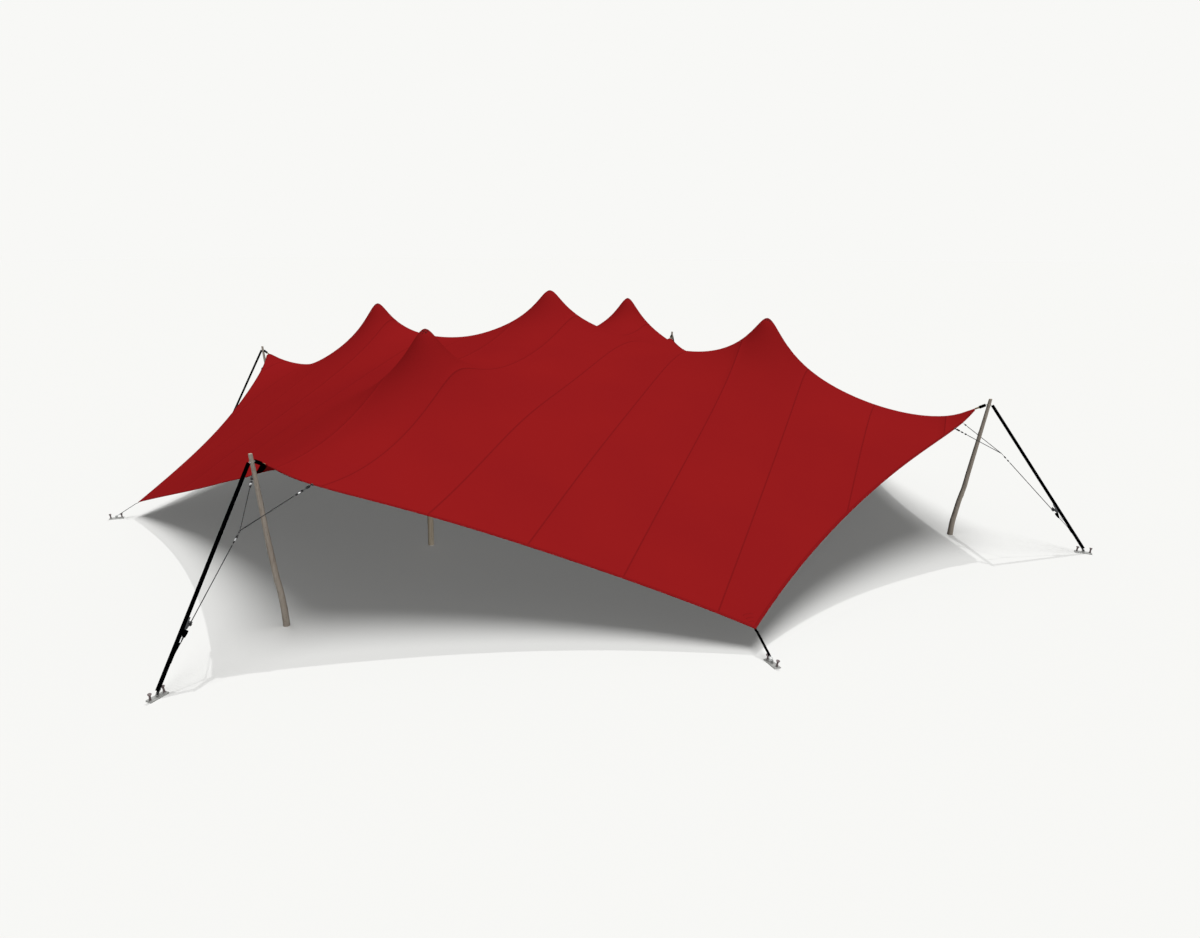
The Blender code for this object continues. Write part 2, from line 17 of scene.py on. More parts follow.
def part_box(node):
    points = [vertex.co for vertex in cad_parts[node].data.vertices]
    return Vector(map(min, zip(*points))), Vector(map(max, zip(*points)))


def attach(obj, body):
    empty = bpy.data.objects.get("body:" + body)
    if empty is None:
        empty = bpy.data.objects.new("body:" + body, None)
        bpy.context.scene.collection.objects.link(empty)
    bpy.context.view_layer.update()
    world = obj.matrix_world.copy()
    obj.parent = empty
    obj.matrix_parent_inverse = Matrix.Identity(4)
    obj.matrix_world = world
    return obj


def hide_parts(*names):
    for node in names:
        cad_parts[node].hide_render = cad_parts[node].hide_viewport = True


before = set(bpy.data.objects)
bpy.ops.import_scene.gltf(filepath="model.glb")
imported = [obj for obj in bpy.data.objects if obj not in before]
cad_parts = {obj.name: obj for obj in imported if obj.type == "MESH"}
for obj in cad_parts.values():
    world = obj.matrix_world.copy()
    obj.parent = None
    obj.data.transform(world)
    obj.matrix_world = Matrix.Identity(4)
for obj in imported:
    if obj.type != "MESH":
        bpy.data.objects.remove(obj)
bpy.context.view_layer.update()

bl_info = {
    "name": "Stretch tent looks",
    "version": (1, 0, 0),
    "blender": (4, 5, 0),
    "location": "3D View > Sidebar > Tent",
    "description": "Sheet, poles and rigging of a freeform stretch tent",
    "category": "Object",
}

UP = Vector((0, 0, 1))
ACROSS = Vector((1, 0, 0))
SIDES = ("front", "right", "back", "left")
CORNERS = ("front_right", "back_right", "back_left", "front_left")
PANELS = sorted(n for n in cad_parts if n.startswith("canopy_panel"))


def middle(node):
    """The centre of a solid's box."""
    low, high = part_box(node)
    return (low + high) / 2


# The sheet's form: the same film over poles, from an edge to its next low point
CENTRE_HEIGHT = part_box("canopy_panel_08")[1].z
INNER_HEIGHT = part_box("canopy_panel_12")[1].z
INNER_REACH = middle("right_inner_pole").x
TIP_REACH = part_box("canopy_panel_15")[1].x
HIGH_REACH = 9.939
HIGH_LEVEL = 2.795
LOW_REACH = 7.049
LOW_LEVEL = 0.345
EDGE_SCALLOP = (0.399, 0.032, -0.037)
EDGE_DROOP = (-0.189, 0.134, -0.085)
CENTRE_PULL = 0.574
CENTRE_ROUNDING = 0.250
INNER_PULL = 0.687
INNER_ROUNDING = 0.243
HIGH_PULL = 0.211
HIGH_ROUNDING = 0.181
FILM_TERMS = 5
SWELL_TERMS = 3
TENSION_RADIUS = 10.0
PANEL_WIDTH = 1.44
SOLID_CLOTH = 0.004

# Mesh lines of the drawn sheet: how far a pole head's fine lines reach, where rows start to
# follow the rim, the width of a seam's slope, and the room kept clear beside a seam
HEAD_ZONE = 0.42
STRAIGHT_ROWS = 6.3
SEAM_EDGE = 0.002
SEAM_ROOM = 0.02
# How far the drawn cloth's upper face lies under the solid's
SHEET_INSET = 0.001

# Places of the rigging at a high point, as (reach, level) where there are two
PIN_LEVEL = 0.056
STAY_REACH = middle("right_anchor").x
CORNER_REACH = middle("front_right_anchor").x
COLLAR_LEVEL = 2.89
COLLAR_HEIGHT = 0.024
STRAP_START = 0.035
STRAP_OUT = 0.016
SLING_END = 0.020
TIE_START = 0.062
TIP_ROPE_LENGTH = 0.052
STAY_SECTION = (0.038, 0.060)
CLAMP_ASIDE = 0.63
JUNCTION = (10.46, 1.89)
RATCHET_TOP = (11.46, 0.84)
RATCHET_END = (11.58, 0.70)
MERGE_LEVEL = 0.505

# What the cloth and the floor throw on things near them: a plain grey, so no red falls on the
# floor, and less than the floor's own tone, so the tent's underside stays in shade
CLOTH_BOUNCE = "303030"
FLOOR_BOUNCE = "A0A09E"

# Stitching: from one stitch to the next, and rows in from a lapped seam's edge and a hem's
STITCH_PITCH = 0.012
LAP_ROWS = (0.007, 0.002)
HEM_ROW = 0.004
# How many bands a wave texture of scale 1 draws in a metre of its coordinates
WAVE_BANDS = 3.2

# The camera, matched to the photograph's own frame of 1200 by 938
CAMERA_PLACE = (9.356, -18.747, 6.068)
CAMERA_SHIFT = (0.04273, -0.04193)


def colour(text):
    """The linear red, green and blue of an sRGB hex colour."""
    values = [int(text[i:i + 2], 16) / 255 for i in (0, 2, 4)]
    return tuple(v / 12.92 if v <= 0.04045 else ((v + 0.055) / 1.055) ** 2.4 for v in values)


def tint(name, text, description):
    return FloatVectorProperty(
        name=name, description=description, subtype="COLOR", size=3, min=0, max=1,
        default=colour(text))


def length(name, default, description):
    return FloatProperty(
        name=name, description=description, default=default, min=0, unit="LENGTH", precision=4)


def angle(name, degrees, description):
    return FloatProperty(
        name=name, description=description, default=math.radians(degrees), subtype="ANGLE")


def power(name, default, description):
    return FloatProperty(name=name, description=description, default=default, min=0)


class TentSheetLooks(bpy.types.PropertyGroup):
    """Sizes and colours of the sheet and what is sewn to it."""
    face: tint("Cloth", "8A191A", "Dark red coated face of the knit")
    faded: tint("Faded cloth", "87181A", "Where the coating has dulled")
    seam: tint("Seam", "7E1618", "Two layers of cloth under stitching")
    thread: tint("Thread", "761517", "Bonded polyester thread")
    thickness: length("Thickness", 0.002, "Thickness of the drawn cloth")
    seam_width: length("Seam width", 0.020, "Width of the lapped seam")
    seam_rise: length("Seam rise", 0.0008, "How far the lapped seam stands up")
    hem_width: length("Hem width", 0.040, "Width of the folded hem")
    fine_step: length("Fine step", 0.05, "Mesh step over the pole heads")
    plain_step: length("Plain step", 0.135, "Mesh step elsewhere")
    band_width: length("Tip band width", 0.11, "Webbing under the rim at a high point")
    band_length: length("Tip band length", 0.48, "How far that webbing runs along the rim")


class TentPoleLooks(bpy.types.PropertyGroup):
    """Colours and finish of the poles."""
    oiled: tint("Oiled wood", "C4B9A5", "Straight inner poles")
    oiled_dark: tint("Oiled grain", "998976", "Darker grain of the inner poles")
    weathered: tint("Weathered wood", "ACA398", "Outer poles, greyed by sun")
    # Half of this tone is the painted shade inside the poles' checks
    weathered_dark: tint("Weathered grain", "8E8277", "Checks and knots of the outer poles")
    end_grain: tint("Sawn end", "B9AC9B", "Sawn pole tops")
    pad: tint("Head pad", "5E1214", "Cloth cover of the padded pole heads")
    sides: IntProperty(name="Sides", description="Facets round a pole", default=28, min=8)


class TentRiggingLooks(bpy.types.PropertyGroup):
    """Sizes and colours of straps, lines and fittings."""
    webbing: tint("Webbing", "020203", "Black polyester webbing")
    dusty: tint("Dusty webbing", "08080A", "Webbing where dust has settled")
    rope: tint("Rope", "B49A74", "Tan rope loop at a high point")
    zinc: tint("Zinc", "C4C6C8", "Zinc plated fittings")
    black_steel: tint("Black steel", "141416", "Painted ratchet and clamps")
    band: tint("Pole band", "9C948A", "Dulled zinc of the band round an outer pole")
    ratchet: tint("Ratchet", "4C4D50", "Worn plates of the ratchet")
    wire: tint("Wire", "2E2F33", "Galvanised wire rope, dulled")
    wire_radius: length("Wire radius", 0.0070, "Radius of a bridle wire")
    rope_radius: length("Rope radius", 0.0175, "Radius of the tan rope")
    tie_width: length("Tie width", 0.044, "Width of the corner webbing")


class TentPlateLooks(bpy.types.PropertyGroup):
    """Sizes and colours of the ground plates."""
    plate: tint("Plate", "A5A6A4", "Hot dip galvanised plate")
    soil: tint("Soil", "4F4A45", "Soil dried on the steel")
    stake: tint("Stake", "463C39", "Worn forged stakes")
    struck: tint("Struck steel", "83777A", "Brighter places on hammered heads")
    stake_radius: length("Stake radius", 0.0170, "Radius of a stake's shank")
    head_radius: length("Head radius", 0.028, "Radius of a hammered stake head")
    stake_height: length("Stake height", 0.11, "How far a stake stands up")
    short_height: length("Short stake height", 0.096, "The inner stake of a corner plate")


class TentStageLooks(bpy.types.PropertyGroup):
    """The plain floor, soft light and camera."""
    floor: tint("Floor", "E6E6E4", "Pale studio floor")
    backdrop: tint("Backdrop", "F8F8F6", "Pale surroundings")
    surroundings: power("Surroundings", 0.10, "Share of the backdrop that lights the tent")
    overhead: power("Overhead power", 2.22, "Strength of the wide overhead light")
    overhead_width: angle("Overhead width", 39, "How wide the overhead light is")
    sun: power("Sun power", 0.77, "Strength of the weak sun")
    sun_height: angle("Sun height", 61.6, "Elevation of the sun")
    sun_heading: angle("Sun heading", 100.7, "Heading of the sun from +X towards +Y")
    fill: power("Fill power", 1.30, "Strength of the fill light, which casts no shadow")
    fill_height: angle("Fill height", 24, "Elevation of the fill light")
    fill_heading: angle("Fill heading", -42.5, "Heading of the fill light from +X towards +Y")
    lens: FloatProperty(name="Lens", description="Focal length in mm", default=24.3)
    dip: angle("Dip", 11.94, "Camera's angle below level")
    swing: angle("Swing", 26.6, "Camera's turn about the tent")


# Materials


def add_node(tree, kind, inputs, output=0, **settings):
    """Adds a node with its settings, its values and its links, and gives one of its outputs."""
    made = tree.nodes.new("ShaderNode" + kind)
    for name, value in settings.items():
        setattr(made, name, value)
    for key, value in inputs.items():
        if isinstance(value, bpy.types.NodeSocket):
            tree.links.new(value, made.inputs[key])
        else:
            made.inputs[key].default_value = value
    return made.outputs[output]


def new_finish(name, roughness, metallic=0.0, specular=0.5):
    """A finish with its even values on the shader's own sockets, and its tree and shader."""
    made = bpy.data.materials.new(name)
    made.use_nodes = True
    shader = made.node_tree.nodes["Principled BSDF"]
    shader.inputs["Roughness"].default_value = roughness
    shader.inputs["Metallic"].default_value = metallic
    shader.inputs["Specular IOR Level"].default_value = specular
    return made, made.node_tree, shader


def complete(tree, shader, tone, height, depth):
    """Gives a finish its colour, and a relief from a height of 0 to 1 that is depth metres deep."""
    tree.links.new(tone, shader.inputs["Base Color"])
    relief = add_node(tree, "Bump", {"Height": height, "Distance": depth})
    tree.links.new(relief, shader.inputs["Normal"])


def opaque(rgb):
    return (*rgb, 1.0)


def darker(rgb, share):
    return opaque(value * share for value in rgb)


def stitch_rows(tree, strip, offsets, pitch):
    """1 on the stitches of straight rows at offsets across a strip, 0 between them."""
    thread_width, gap = 0.0022, 0.28
    across = add_node(tree, "SeparateXYZ", {"Vector": strip}, "X")
    along = add_node(tree, "SeparateXYZ", {"Vector": strip}, "Y")
    beat = add_node(tree, "Math", {0: along, 1: pitch}, operation="FLOORED_MODULO")
    shown = add_node(tree, "Math", {0: beat, 1: gap * pitch}, operation="GREATER_THAN")
    away = add_node(tree, "Math", {0: across}, operation="ABSOLUTE")
    rows = None
    for offset in offsets:
        row = add_node(tree, "Math", {0: away, 1: offset, 2: thread_width / 2}, operation="COMPARE")
        rows = row if rows is None else add_node(tree, "Math", {0: rows, 1: row}, operation="MAXIMUM")
    return add_node(tree, "Math", {0: rows, 1: shown}, operation="MULTIPLY")


def marked(tree, base, mark, texture, rise, most=1.0):
    """A base colour under marks of another where noise is high, and that noise.

    texture is the noise's scale, detail and roughness, rise is where the marks begin and where
    they are fullest, and most is their share there.
    """
    scale, detail, roughness = texture
    low, high = rise
    place = add_node(tree, "TexCoord", {}, "Object")
    value = add_node(tree, "TexNoise", {"Vector": place, "Scale": scale, "Detail": detail,
                                        "Roughness": roughness})
    share = add_node(tree, "MapRange", {"Value": value, "From Min": low, "From Max": high, "To Max": most})
    return add_node(tree, "Mix", {0: share, 6: base, 7: mark}, 2, data_type="RGBA"), value


def with_bounce(tree, tone, bounce):
    """The tone as it is seen, and another for the light that it throws on what is near it."""
    bounced = add_node(tree, "LightPath", {}, "Is Diffuse Ray")
    return add_node(tree, "Mix", {0: bounced, 6: tone, 7: opaque(colour(bounce))}, 2, data_type="RGBA")


def coated_knit(looks):
    """Polyester knit under a matt coating: an even red without gloss, barely mottled."""
    made, tree, shader = new_finish("coated_polyester_knit", roughness=1.0, specular=0.0)
    place = add_node(tree, "TexCoord", {}, "Object")
    weave = add_node(tree, "TexCoord", {}, "UV")
    tone, _ = marked(tree, opaque(looks.face), opaque(looks.faded), (0.55, 4.0, 0.5), (0.35, 0.7))
    # Loops of the knit are 1.2 mm apart, drawn at 4 mm so that a near view still shows them
    knit = add_node(tree, "TexVoronoi", {"Vector": weave, "Scale": 250.0, "Randomness": 0.35})
    slack = add_node(tree, "TexNoise", {"Vector": place, "Scale": 1.6, "Detail": 1.0})
    height = add_node(tree, "Math", {0: knit, 1: 0.1, 2: slack}, operation="MULTIPLY_ADD")
    complete(tree, shader, with_bounce(tree, tone, CLOTH_BOUNCE), height, depth=0.0015)
    return made


def sewn_strip(name, base, looks, rows):
    """Doubled cloth with rows of lockstitch: 6 mm stitches, drawn at twice that to show."""
    made, tree, shader = new_finish(name, roughness=1.0, specular=0.0)
    place = add_node(tree, "TexCoord", {}, "Object")
    strip = add_node(tree, "TexCoord", {}, "UV")
    stitches = stitch_rows(tree, strip, rows, STITCH_PITCH)
    tone = add_node(tree, "Mix", {0: stitches, 6: opaque(base), 7: opaque(looks.thread)}, 2,
                    data_type="RGBA")
    # The needle draws the cloth in by about a millimetre, in puckers 50 mm long
    pucker = add_node(tree, "TexNoise", {"Vector": place, "Scale": 18.0, "Detail": 2.0})
    height = add_node(tree, "Math", {0: stitches, 1: -0.6, 2: pucker}, operation="MULTIPLY_ADD")
    complete(tree, shader, with_bounce(tree, tone, CLOTH_BOUNCE), height, depth=0.001)
    return made


def woven_webbing(looks):
    """Black polyester webbing: matt, with ribs every 2 mm drawn at 5 mm, and a little dust."""
    rib_pitch, warp_pitch = 0.005, 0.004
    made, tree, shader = new_finish("woven_polyester_webbing", roughness=0.9, specular=0.0)
    strip = add_node(tree, "TexCoord", {}, "UV")
    ribs = add_node(tree, "TexWave", {"Vector": strip, "Scale": 1 / rib_pitch / WAVE_BANDS}, "Fac",
                    bands_direction="Y")
    warp = add_node(tree, "TexWave", {"Vector": strip, "Scale": 1 / warp_pitch / WAVE_BANDS}, "Fac",
                    bands_direction="X")
    weave = add_node(tree, "Math", {0: ribs, 1: warp}, operation="MULTIPLY")
    tone, _ = marked(tree, opaque(looks.webbing), opaque(looks.dusty), (6.0, 5.0, 0.7), (0.45, 0.8), 0.4)
    complete(tree, shader, tone, weave, depth=0.0008)
    return made


def grained_wood(name, light, dark, roughness, check_width):
    """Debarked gum: long grain along the pole, and drying checks where it is old, with painted shade in
    them.
    """
    made, tree, shader = new_finish(name, roughness, specular=0.3)
    place = add_node(tree, "TexCoord", {}, "Object")
    # Streaks about 6 mm wide and half a metre long, on broader ones of a hand's breadth
    fine = add_node(tree, "Mapping", {"Vector": place, "Scale": (70.0, 70.0, 2.0)})
    grain = add_node(tree, "TexNoise", {"Vector": fine, "Scale": 1.0, "Detail": 6.0, "Roughness": 0.62})
    wide = add_node(tree, "Mapping", {"Vector": place, "Scale": (9.0, 9.0, 0.9)})
    broad = add_node(tree, "TexNoise", {"Vector": wide, "Scale": 1.0, "Detail": 3.0})
    both = add_node(tree, "Math", {0: grain, 1: broad}, operation="ADD")
    share = add_node(tree, "MapRange", {"Value": both, "From Min": 0.75, "From Max": 1.3})
    tone = add_node(tree, "Mix", {0: share, 6: opaque(light), 7: opaque(dark)}, 2, data_type="RGBA")
    # Checks run a metre along the grain, about 25 mm apart
    long = add_node(tree, "Mapping", {"Vector": place, "Scale": (38.0, 38.0, 1.1)})
    split = add_node(tree, "TexNoise", {"Vector": long, "Scale": 1.0, "Detail": 2.0, "Roughness": 0.4})
    check_with_shade = add_node(tree, "Math", {0: split, 1: 0.5, 2: check_width}, operation="COMPARE")
    # Painted shade in the checks: they are drawn at half the dark grain's tone, and sunk in relief below
    tone = add_node(tree, "Mix", {0: check_with_shade, 6: tone, 7: darker(dark, 0.5)}, 2, data_type="RGBA")
    height = add_node(tree, "Math", {0: check_with_shade, 1: -0.8, 2: grain}, operation="MULTIPLY_ADD")
    complete(tree, shader, tone, height, depth=0.003)
    return made


def sawn_end(looks):
    """Sawn end grain: growth rings about 10 mm apart round the pith."""
    made, tree, shader = new_finish("sawn_gum_end", roughness=0.85, specular=0.25)
    spot = add_node(tree, "TexCoord", {}, "UV")
    rings = add_node(tree, "TexWave", {"Vector": spot, "Scale": 32.0, "Distortion": 2.0, "Detail": 3.0},
                     "Fac", wave_type="RINGS", rings_direction="Z")
    share = add_node(tree, "Math", {0: rings, 1: 0.5}, operation="MULTIPLY")
    tone = add_node(tree, "Mix", {0: share, 6: opaque(looks.end_grain), 7: opaque(looks.weathered_dark)},
                    2, data_type="RGBA")
    complete(tree, shader, tone, rings, depth=0.001)
    return made


def padded_cover(looks):
    """Cloth cover over a foam pad: dark red, matt, with a coarse knit."""
    made, tree, shader = new_finish("cloth_covered_pad", roughness=0.9, specular=0.1)
    place = add_node(tree, "TexCoord", {}, "Object")
    mottle = add_node(tree, "TexNoise", {"Vector": place, "Scale": 22.0, "Detail": 3.0})
    tone = add_node(tree, "Mix", {0: mottle, 6: opaque(looks.pad), 7: darker(looks.pad, 0.5)}, 2,
                    data_type="RGBA")
    complete(tree, shader, tone, mottle, depth=0.002)
    return made


def galvanised_steel(looks):
    """Hot dip galvanised plate: dull zinc with faint spangles about 12 mm across, and soil."""
    made, tree, shader = new_finish("hot_dip_galvanised_steel", roughness=0.46, metallic=0.6)
    place = add_node(tree, "TexCoord", {}, "Object")
    spangle = add_node(tree, "TexVoronoi", {"Vector": place, "Scale": 85.0}, "Color")
    tone = add_node(tree, "Mix", {0: spangle, 6: opaque(looks.plate), 7: darker(looks.plate, 0.78)}, 2,
                    data_type="RGBA")
    tone, grime = marked(tree, tone, opaque(looks.soil), (14.0, 5.0, 0.65), (0.5, 0.75), 0.5)
    rough = add_node(tree, "MapRange", {"Value": grime, "To Min": 0.36, "To Max": 0.62})
    tree.links.new(rough, shader.inputs["Roughness"])
    complete(tree, shader, tone, grime, depth=0.0005)
    return made


def forged_steel(looks):
    """Forged stakes, hammered and handled: brown scale with brighter struck places."""
    made, tree, shader = new_finish("hammered_forged_steel", roughness=0.55, metallic=0.5)
    tone, scale = marked(tree, opaque(looks.stake), opaque(looks.struck), (60.0, 5.0, 0.7), (0.35, 0.7))
    complete(tree, shader, tone, scale, depth=0.0016)
    return made


def plated_steel(name, base, roughness, metallic):
    """Zinc plated steel: an even tone with small dull marks about 5 mm across."""
    made, tree, shader = new_finish(name, roughness, metallic)
    tone, marks = marked(tree, opaque(base), darker(base, 0.6), (90.0, 4.0, 0.6), (0.5, 0.8))
    complete(tree, shader, tone, marks, depth=0.0002)
    return made


def painted_steel(looks):
    """Black electrocoated steel: satin, rubbed grey in places."""
    made, tree, shader = new_finish("electrocoated_steel", roughness=0.5, metallic=0.2, specular=0.3)
    tone, rub = marked(tree, opaque(looks.black_steel), opaque(looks.wire), (45.0, 5.0, 0.7), (0.62, 0.78))
    complete(tree, shader, tone, rub, depth=0.0002)
    return made


def twisted(name, base, pitch, strands, radius, roughness, metallic=0.0):
    """Laid rope or wire: strands winding round it once in each pitch, drawn by grooves in relief and
    painted shade.
    """
    made, tree, shader = new_finish(name, roughness, metallic, specular=0.4)
    strip = add_node(tree, "TexCoord", {}, "UV")
    turns = (strands / (2 * math.pi * radius), strands / pitch, 0.0)
    phase = add_node(tree, "VectorMath", {0: strip, 1: turns}, "Value", operation="DOT_PRODUCT")
    strand = add_node(tree, "Math", {0: phase, 1: 0.5}, operation="PINGPONG")
    wave = add_node(tree, "Math", {0: strand, 1: 2.0}, operation="MULTIPLY")
    # Painted shade: the grooves between the strands darken to about a third of the base tone
    tone = add_node(tree, "Mix", {0: wave, 6: darker(base, 0.35), 7: opaque(base)}, 2,
                    data_type="RGBA")
    complete(tree, shader, tone, wave, depth=radius * 0.4)
    return made


# Meshes


class Shape:
    """The points, faces, cloth coordinates and finishes of one piece, gathered part by part."""

    def __init__(self):
        self.points = []
        self.faces = []
        self.places = []
        self.finishes = []

    def face(self, corners, places, finish):
        self.faces.append(corners)
        self.places.append(places)
        self.finishes.append(finish)

    def rings(self, rings, finish=0, closed=False, cap_finish=None):
        """Skins equal rings of points, capped unless closed; its coordinates are in metres."""
        base, count = len(self.points), len(rings[0])
        self.points += [Vector(p) for ring in rings for p in ring]
        across = [0.0]
        for i in range(count):
            across.append(across[-1] + (Vector(rings[0][(i + 1) % count]) - Vector(rings[0][i])).length)
        along = [0.0]
        for before, after in zip(rings, rings[1:] + rings[:1]):
            along.append(along[-1] + (Vector(after[0]) - Vector(before[0])).length)
        for i in range(len(rings) if closed else len(rings) - 1):
            j = (i + 1) % len(rings)
            for k in range(count):
                m = (k + 1) % count
                corners = [base + i * count + k, base + i * count + m,
                           base + j * count + m, base + j * count + k]
                places = [(across[k], along[i]), (across[k + 1], along[i]),
                          (across[k + 1], along[i + 1]), (across[k], along[i + 1])]
                self.face(corners, places, finish)
        if closed:
            return
        for first, ring in ((base, rings[0]), (base + (len(rings) - 1) * count, rings[-1])):
            centre = sum((Vector(p) for p in ring), Vector()) / count
            side = (Vector(ring[0]) - centre).normalized()
            normal = side.cross(Vector(ring[count // 4]) - centre)
            other = normal.cross(side).normalized() if normal.length else side
            spots = [((Vector(p) - centre).dot(side), (Vector(p) - centre).dot(other)) for p in ring]
            corners = [first + k for k in range(count)]
            if first == base:
                corners, spots = corners[::-1], spots[::-1]
            self.face(corners, spots, finish if cap_finish is None else cap_finish)

    def grid(self, rows, finish=0, low=0.0, high=0.001):
        """A thin closed slab over rows of (point, normal), from one height above them to another."""
        base, wide = len(self.points), len(rows[0])
        for lift in (high, low):
            self.points += [p + n * lift for row in rows for p, n in row]
        under = len(rows) * wide
        spots = [(p.x, p.y) for row in rows for p, _ in row] * 2

        def quad(*ids):
            self.face([base + k for k in ids], [spots[k] for k in ids], finish)

        for i in range(len(rows) - 1):
            for j in range(wide - 1):
                a = i * wide + j
                quad(a, a + 1, a + wide + 1, a + wide)
                quad(under + a + wide, under + a + wide + 1, under + a + 1, under + a)
        for a, b in slab_rim(len(rows), wide):
            quad(a, under + a, under + b, b)

    def piece(self, name, slot, finishes, replaced=(), sharp=38.0, turns=0):
        """Makes the object, turned to its side, gives it its finish and lets it ride on the tent."""
        mesh = bpy.data.meshes.new(name)
        mesh.from_pydata([tuple(quarter_turn(p, turns)) for p in self.points], [], self.faces)
        for finish in finishes:
            mesh.materials.append(finish)
        mesh.polygons.foreach_set("material_index", self.finishes)
        layer = mesh.uv_layers.new(name="cloth_metres")
        flat = [value for places in self.places for spot in places for value in spot]
        layer.data.foreach_set("uv", flat)
        work = bmesh.new()
        work.from_mesh(mesh)
        bmesh.ops.recalc_face_normals(work, faces=work.faces)
        work.to_mesh(mesh)
        work.free()
        mesh.shade_smooth()
        mesh.set_sharp_from_angle(angle=math.radians(sharp))
        made = bpy.data.objects.new(name, mesh)
        bpy.context.scene.collection.objects.link(made)
        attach(made, "root")
        if replaced:
            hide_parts(*replaced)
        return made


def slab_rim(rows, wide):
    """Each pair of neighbouring points round the rim of a grid of points."""
    rim = list(range(wide)) + [i * wide + wide - 1 for i in range(1, rows)]
    rim += [(rows - 1) * wide + j for j in range(wide - 2, -1, -1)]
    rim += [i * wide for i in range(rows - 2, 0, -1)]
    return zip(rim, rim[1:] + rim[:1])


def ring_round(centre, along, radius, sides, start=None):
    """A circle of points about an axis, begun on a given side of it."""
    along = along.normalized()
    side = along.orthogonal() if start is None else start - start.dot(along) * along
    side.normalize()
    other = along.cross(side)
    turns = [2 * math.pi * i / sides for i in range(sides)]
    return [centre + radius * (math.cos(a) * side + math.sin(a) * other) for a in turns]


def directions(path, closed=False):
    """The unit direction of a path at each of its points."""
    found = []
    for i in range(len(path)):
        before = path[i - 1] if closed or i else path[0]
        after = path[(i + 1) % len(path)] if closed or i < len(path) - 1 else path[-1]
        found.append((after - before).normalized())
    return found


def add_tube(shape, path, radius, sides=10, finish=0, closed=False):
    """A round rod along a path, with its cross-sections carried along without twist."""
    side = directions(path, closed)[0].orthogonal()
    rings = []
    for point, way in zip(path, directions(path, closed)):
        side = (side - side.dot(way) * way).normalized()
        rings.append(ring_round(point, way, radius, sides, side))
    shape.rings(rings, finish, closed=closed)


def add_turned(shape, origin, axis, profile, sides=16):
    """A turned part: profile is (distance along the axis, radius) from one end to the other."""
    axis = axis.normalized()
    side = axis.orthogonal()
    shape.rings([ring_round(origin + axis * d, axis, r, sides, side) for d, r in profile])


def add_pin(shape, centre, axis, half, radius, sides=12):
    """A round pin or wheel about its middle, with its ends chamfered."""
    cut = min(half, radius) * 0.25
    add_turned(shape, centre, axis, [(-half, radius - cut), (cut - half, radius),
                                     (half - cut, radius), (half, radius - cut)], sides)


def add_bar(shape, start, end, side, width, thickness, chamfer=0.15):
    """A flat bar with chamfered edges and ends; its width lies along side."""
    way = (end - start).normalized()
    across = (side - side.dot(way) * way).normalized()
    up = way.cross(across).normalized()
    cut = min(width, thickness) * chamfer
    rings = []
    for shift, shrink in ((0.0, cut), (cut, 0.0), ((end - start).length - cut, 0.0),
                          ((end - start).length, cut)):
        w, t = width / 2 - shrink, thickness / 2 - shrink
        outline = [(w - cut, t), (-w + cut, t), (-w, t - cut), (-w, -t + cut),
                   (-w + cut, -t), (w - cut, -t), (w, -t + cut), (w, t - cut)]
        rings.append([start + way * shift + across * a + up * b for a, b in outline])
    shape.rings(rings)


def add_swept(shape, path, side, outline, closed=False):
    """One outline carried along a path; the outline's first measure lies along side."""
    rings = []
    for point, way in zip(path, directions(path, closed)):
        across = (side - side.dot(way) * way).normalized()
        up = way.cross(across).normalized()
        rings.append([point + across * a + up * b for a, b in outline])
    shape.rings(rings, closed=closed)


def add_webbing(shape, path, side, width, thickness=0.003, closed=False):
    """A flat woven band along a path; its width lies along side."""
    w, t = width / 2, thickness / 2
    outline = [(w - t, t), (w / 3, t), (-w / 3, t), (-w + t, t), (-w, 0.0),
               (-w + t, -t), (-w / 3, -t), (w / 3, -t), (w - t, -t), (w, 0.0)]
    add_swept(shape, path, side, outline, closed)


def add_sleeve(shape, path, side, width, depth, sides=16):
    """A thick webbing sleeve of rounded section along a path; its width lies along side."""
    squareness = 0.38
    outline = []
    for k in range(sides):
        c, s = math.cos(2 * math.pi * k / sides), math.sin(2 * math.pi * k / sides)
        outline.append((math.copysign(abs(c) ** squareness, c) * width / 2,
                        math.copysign(abs(s) ** squareness, s) * depth / 2))
    add_swept(shape, path, side, outline)


def straight(start, end, count):
    """Evenly spaced points from one place to another."""
    return [start.lerp(end, i / (count - 1)) for i in range(count)]


def places_along(start, way, *distances):
    """The points at some distances from a start along a direction."""
    return [start + way * distance for distance in distances]


def rounded_loop(corners, radius, steps=5):
    """A closed path through corners, each rounded off."""
    longest = 0.45
    path = []
    for i, corner in enumerate(corners):
        before = corners[i - 1] - corner
        after = corners[(i + 1) % len(corners)] - corner
        first = corner + before.normalized() * min(radius, before.length * longest)
        last = corner + after.normalized() * min(radius, after.length * longest)
        for k in range(steps + 1):
            t = k / steps
            path.append(first * (1 - t) ** 2 + corner * 2 * t * (1 - t) + last * t * t)
    return path


def add_link(shape, start, end, side, width, wire):
    """A closed round-wire link between two places; its width lies along side."""
    half = side.normalized() * (width - wire) / 2
    corners = [start + half, start - half, end - half, end + half]
    add_tube(shape, rounded_loop(corners, width * 0.45), wire / 2, sides=8, closed=True)


def quarter_turn(point, turns):
    """The place of a point on the front side after quarter turns to the right, back or left."""
    return Matrix.Rotation(turns * math.pi / 2, 3, "Z") @ Vector(point)


# The sheet's form


def fall(away, pull, rounding):
    """How far the sheet falls over a distance in plan from a pole or a high point."""
    return pull / 2 * np.log1p((away / rounding) ** 2)


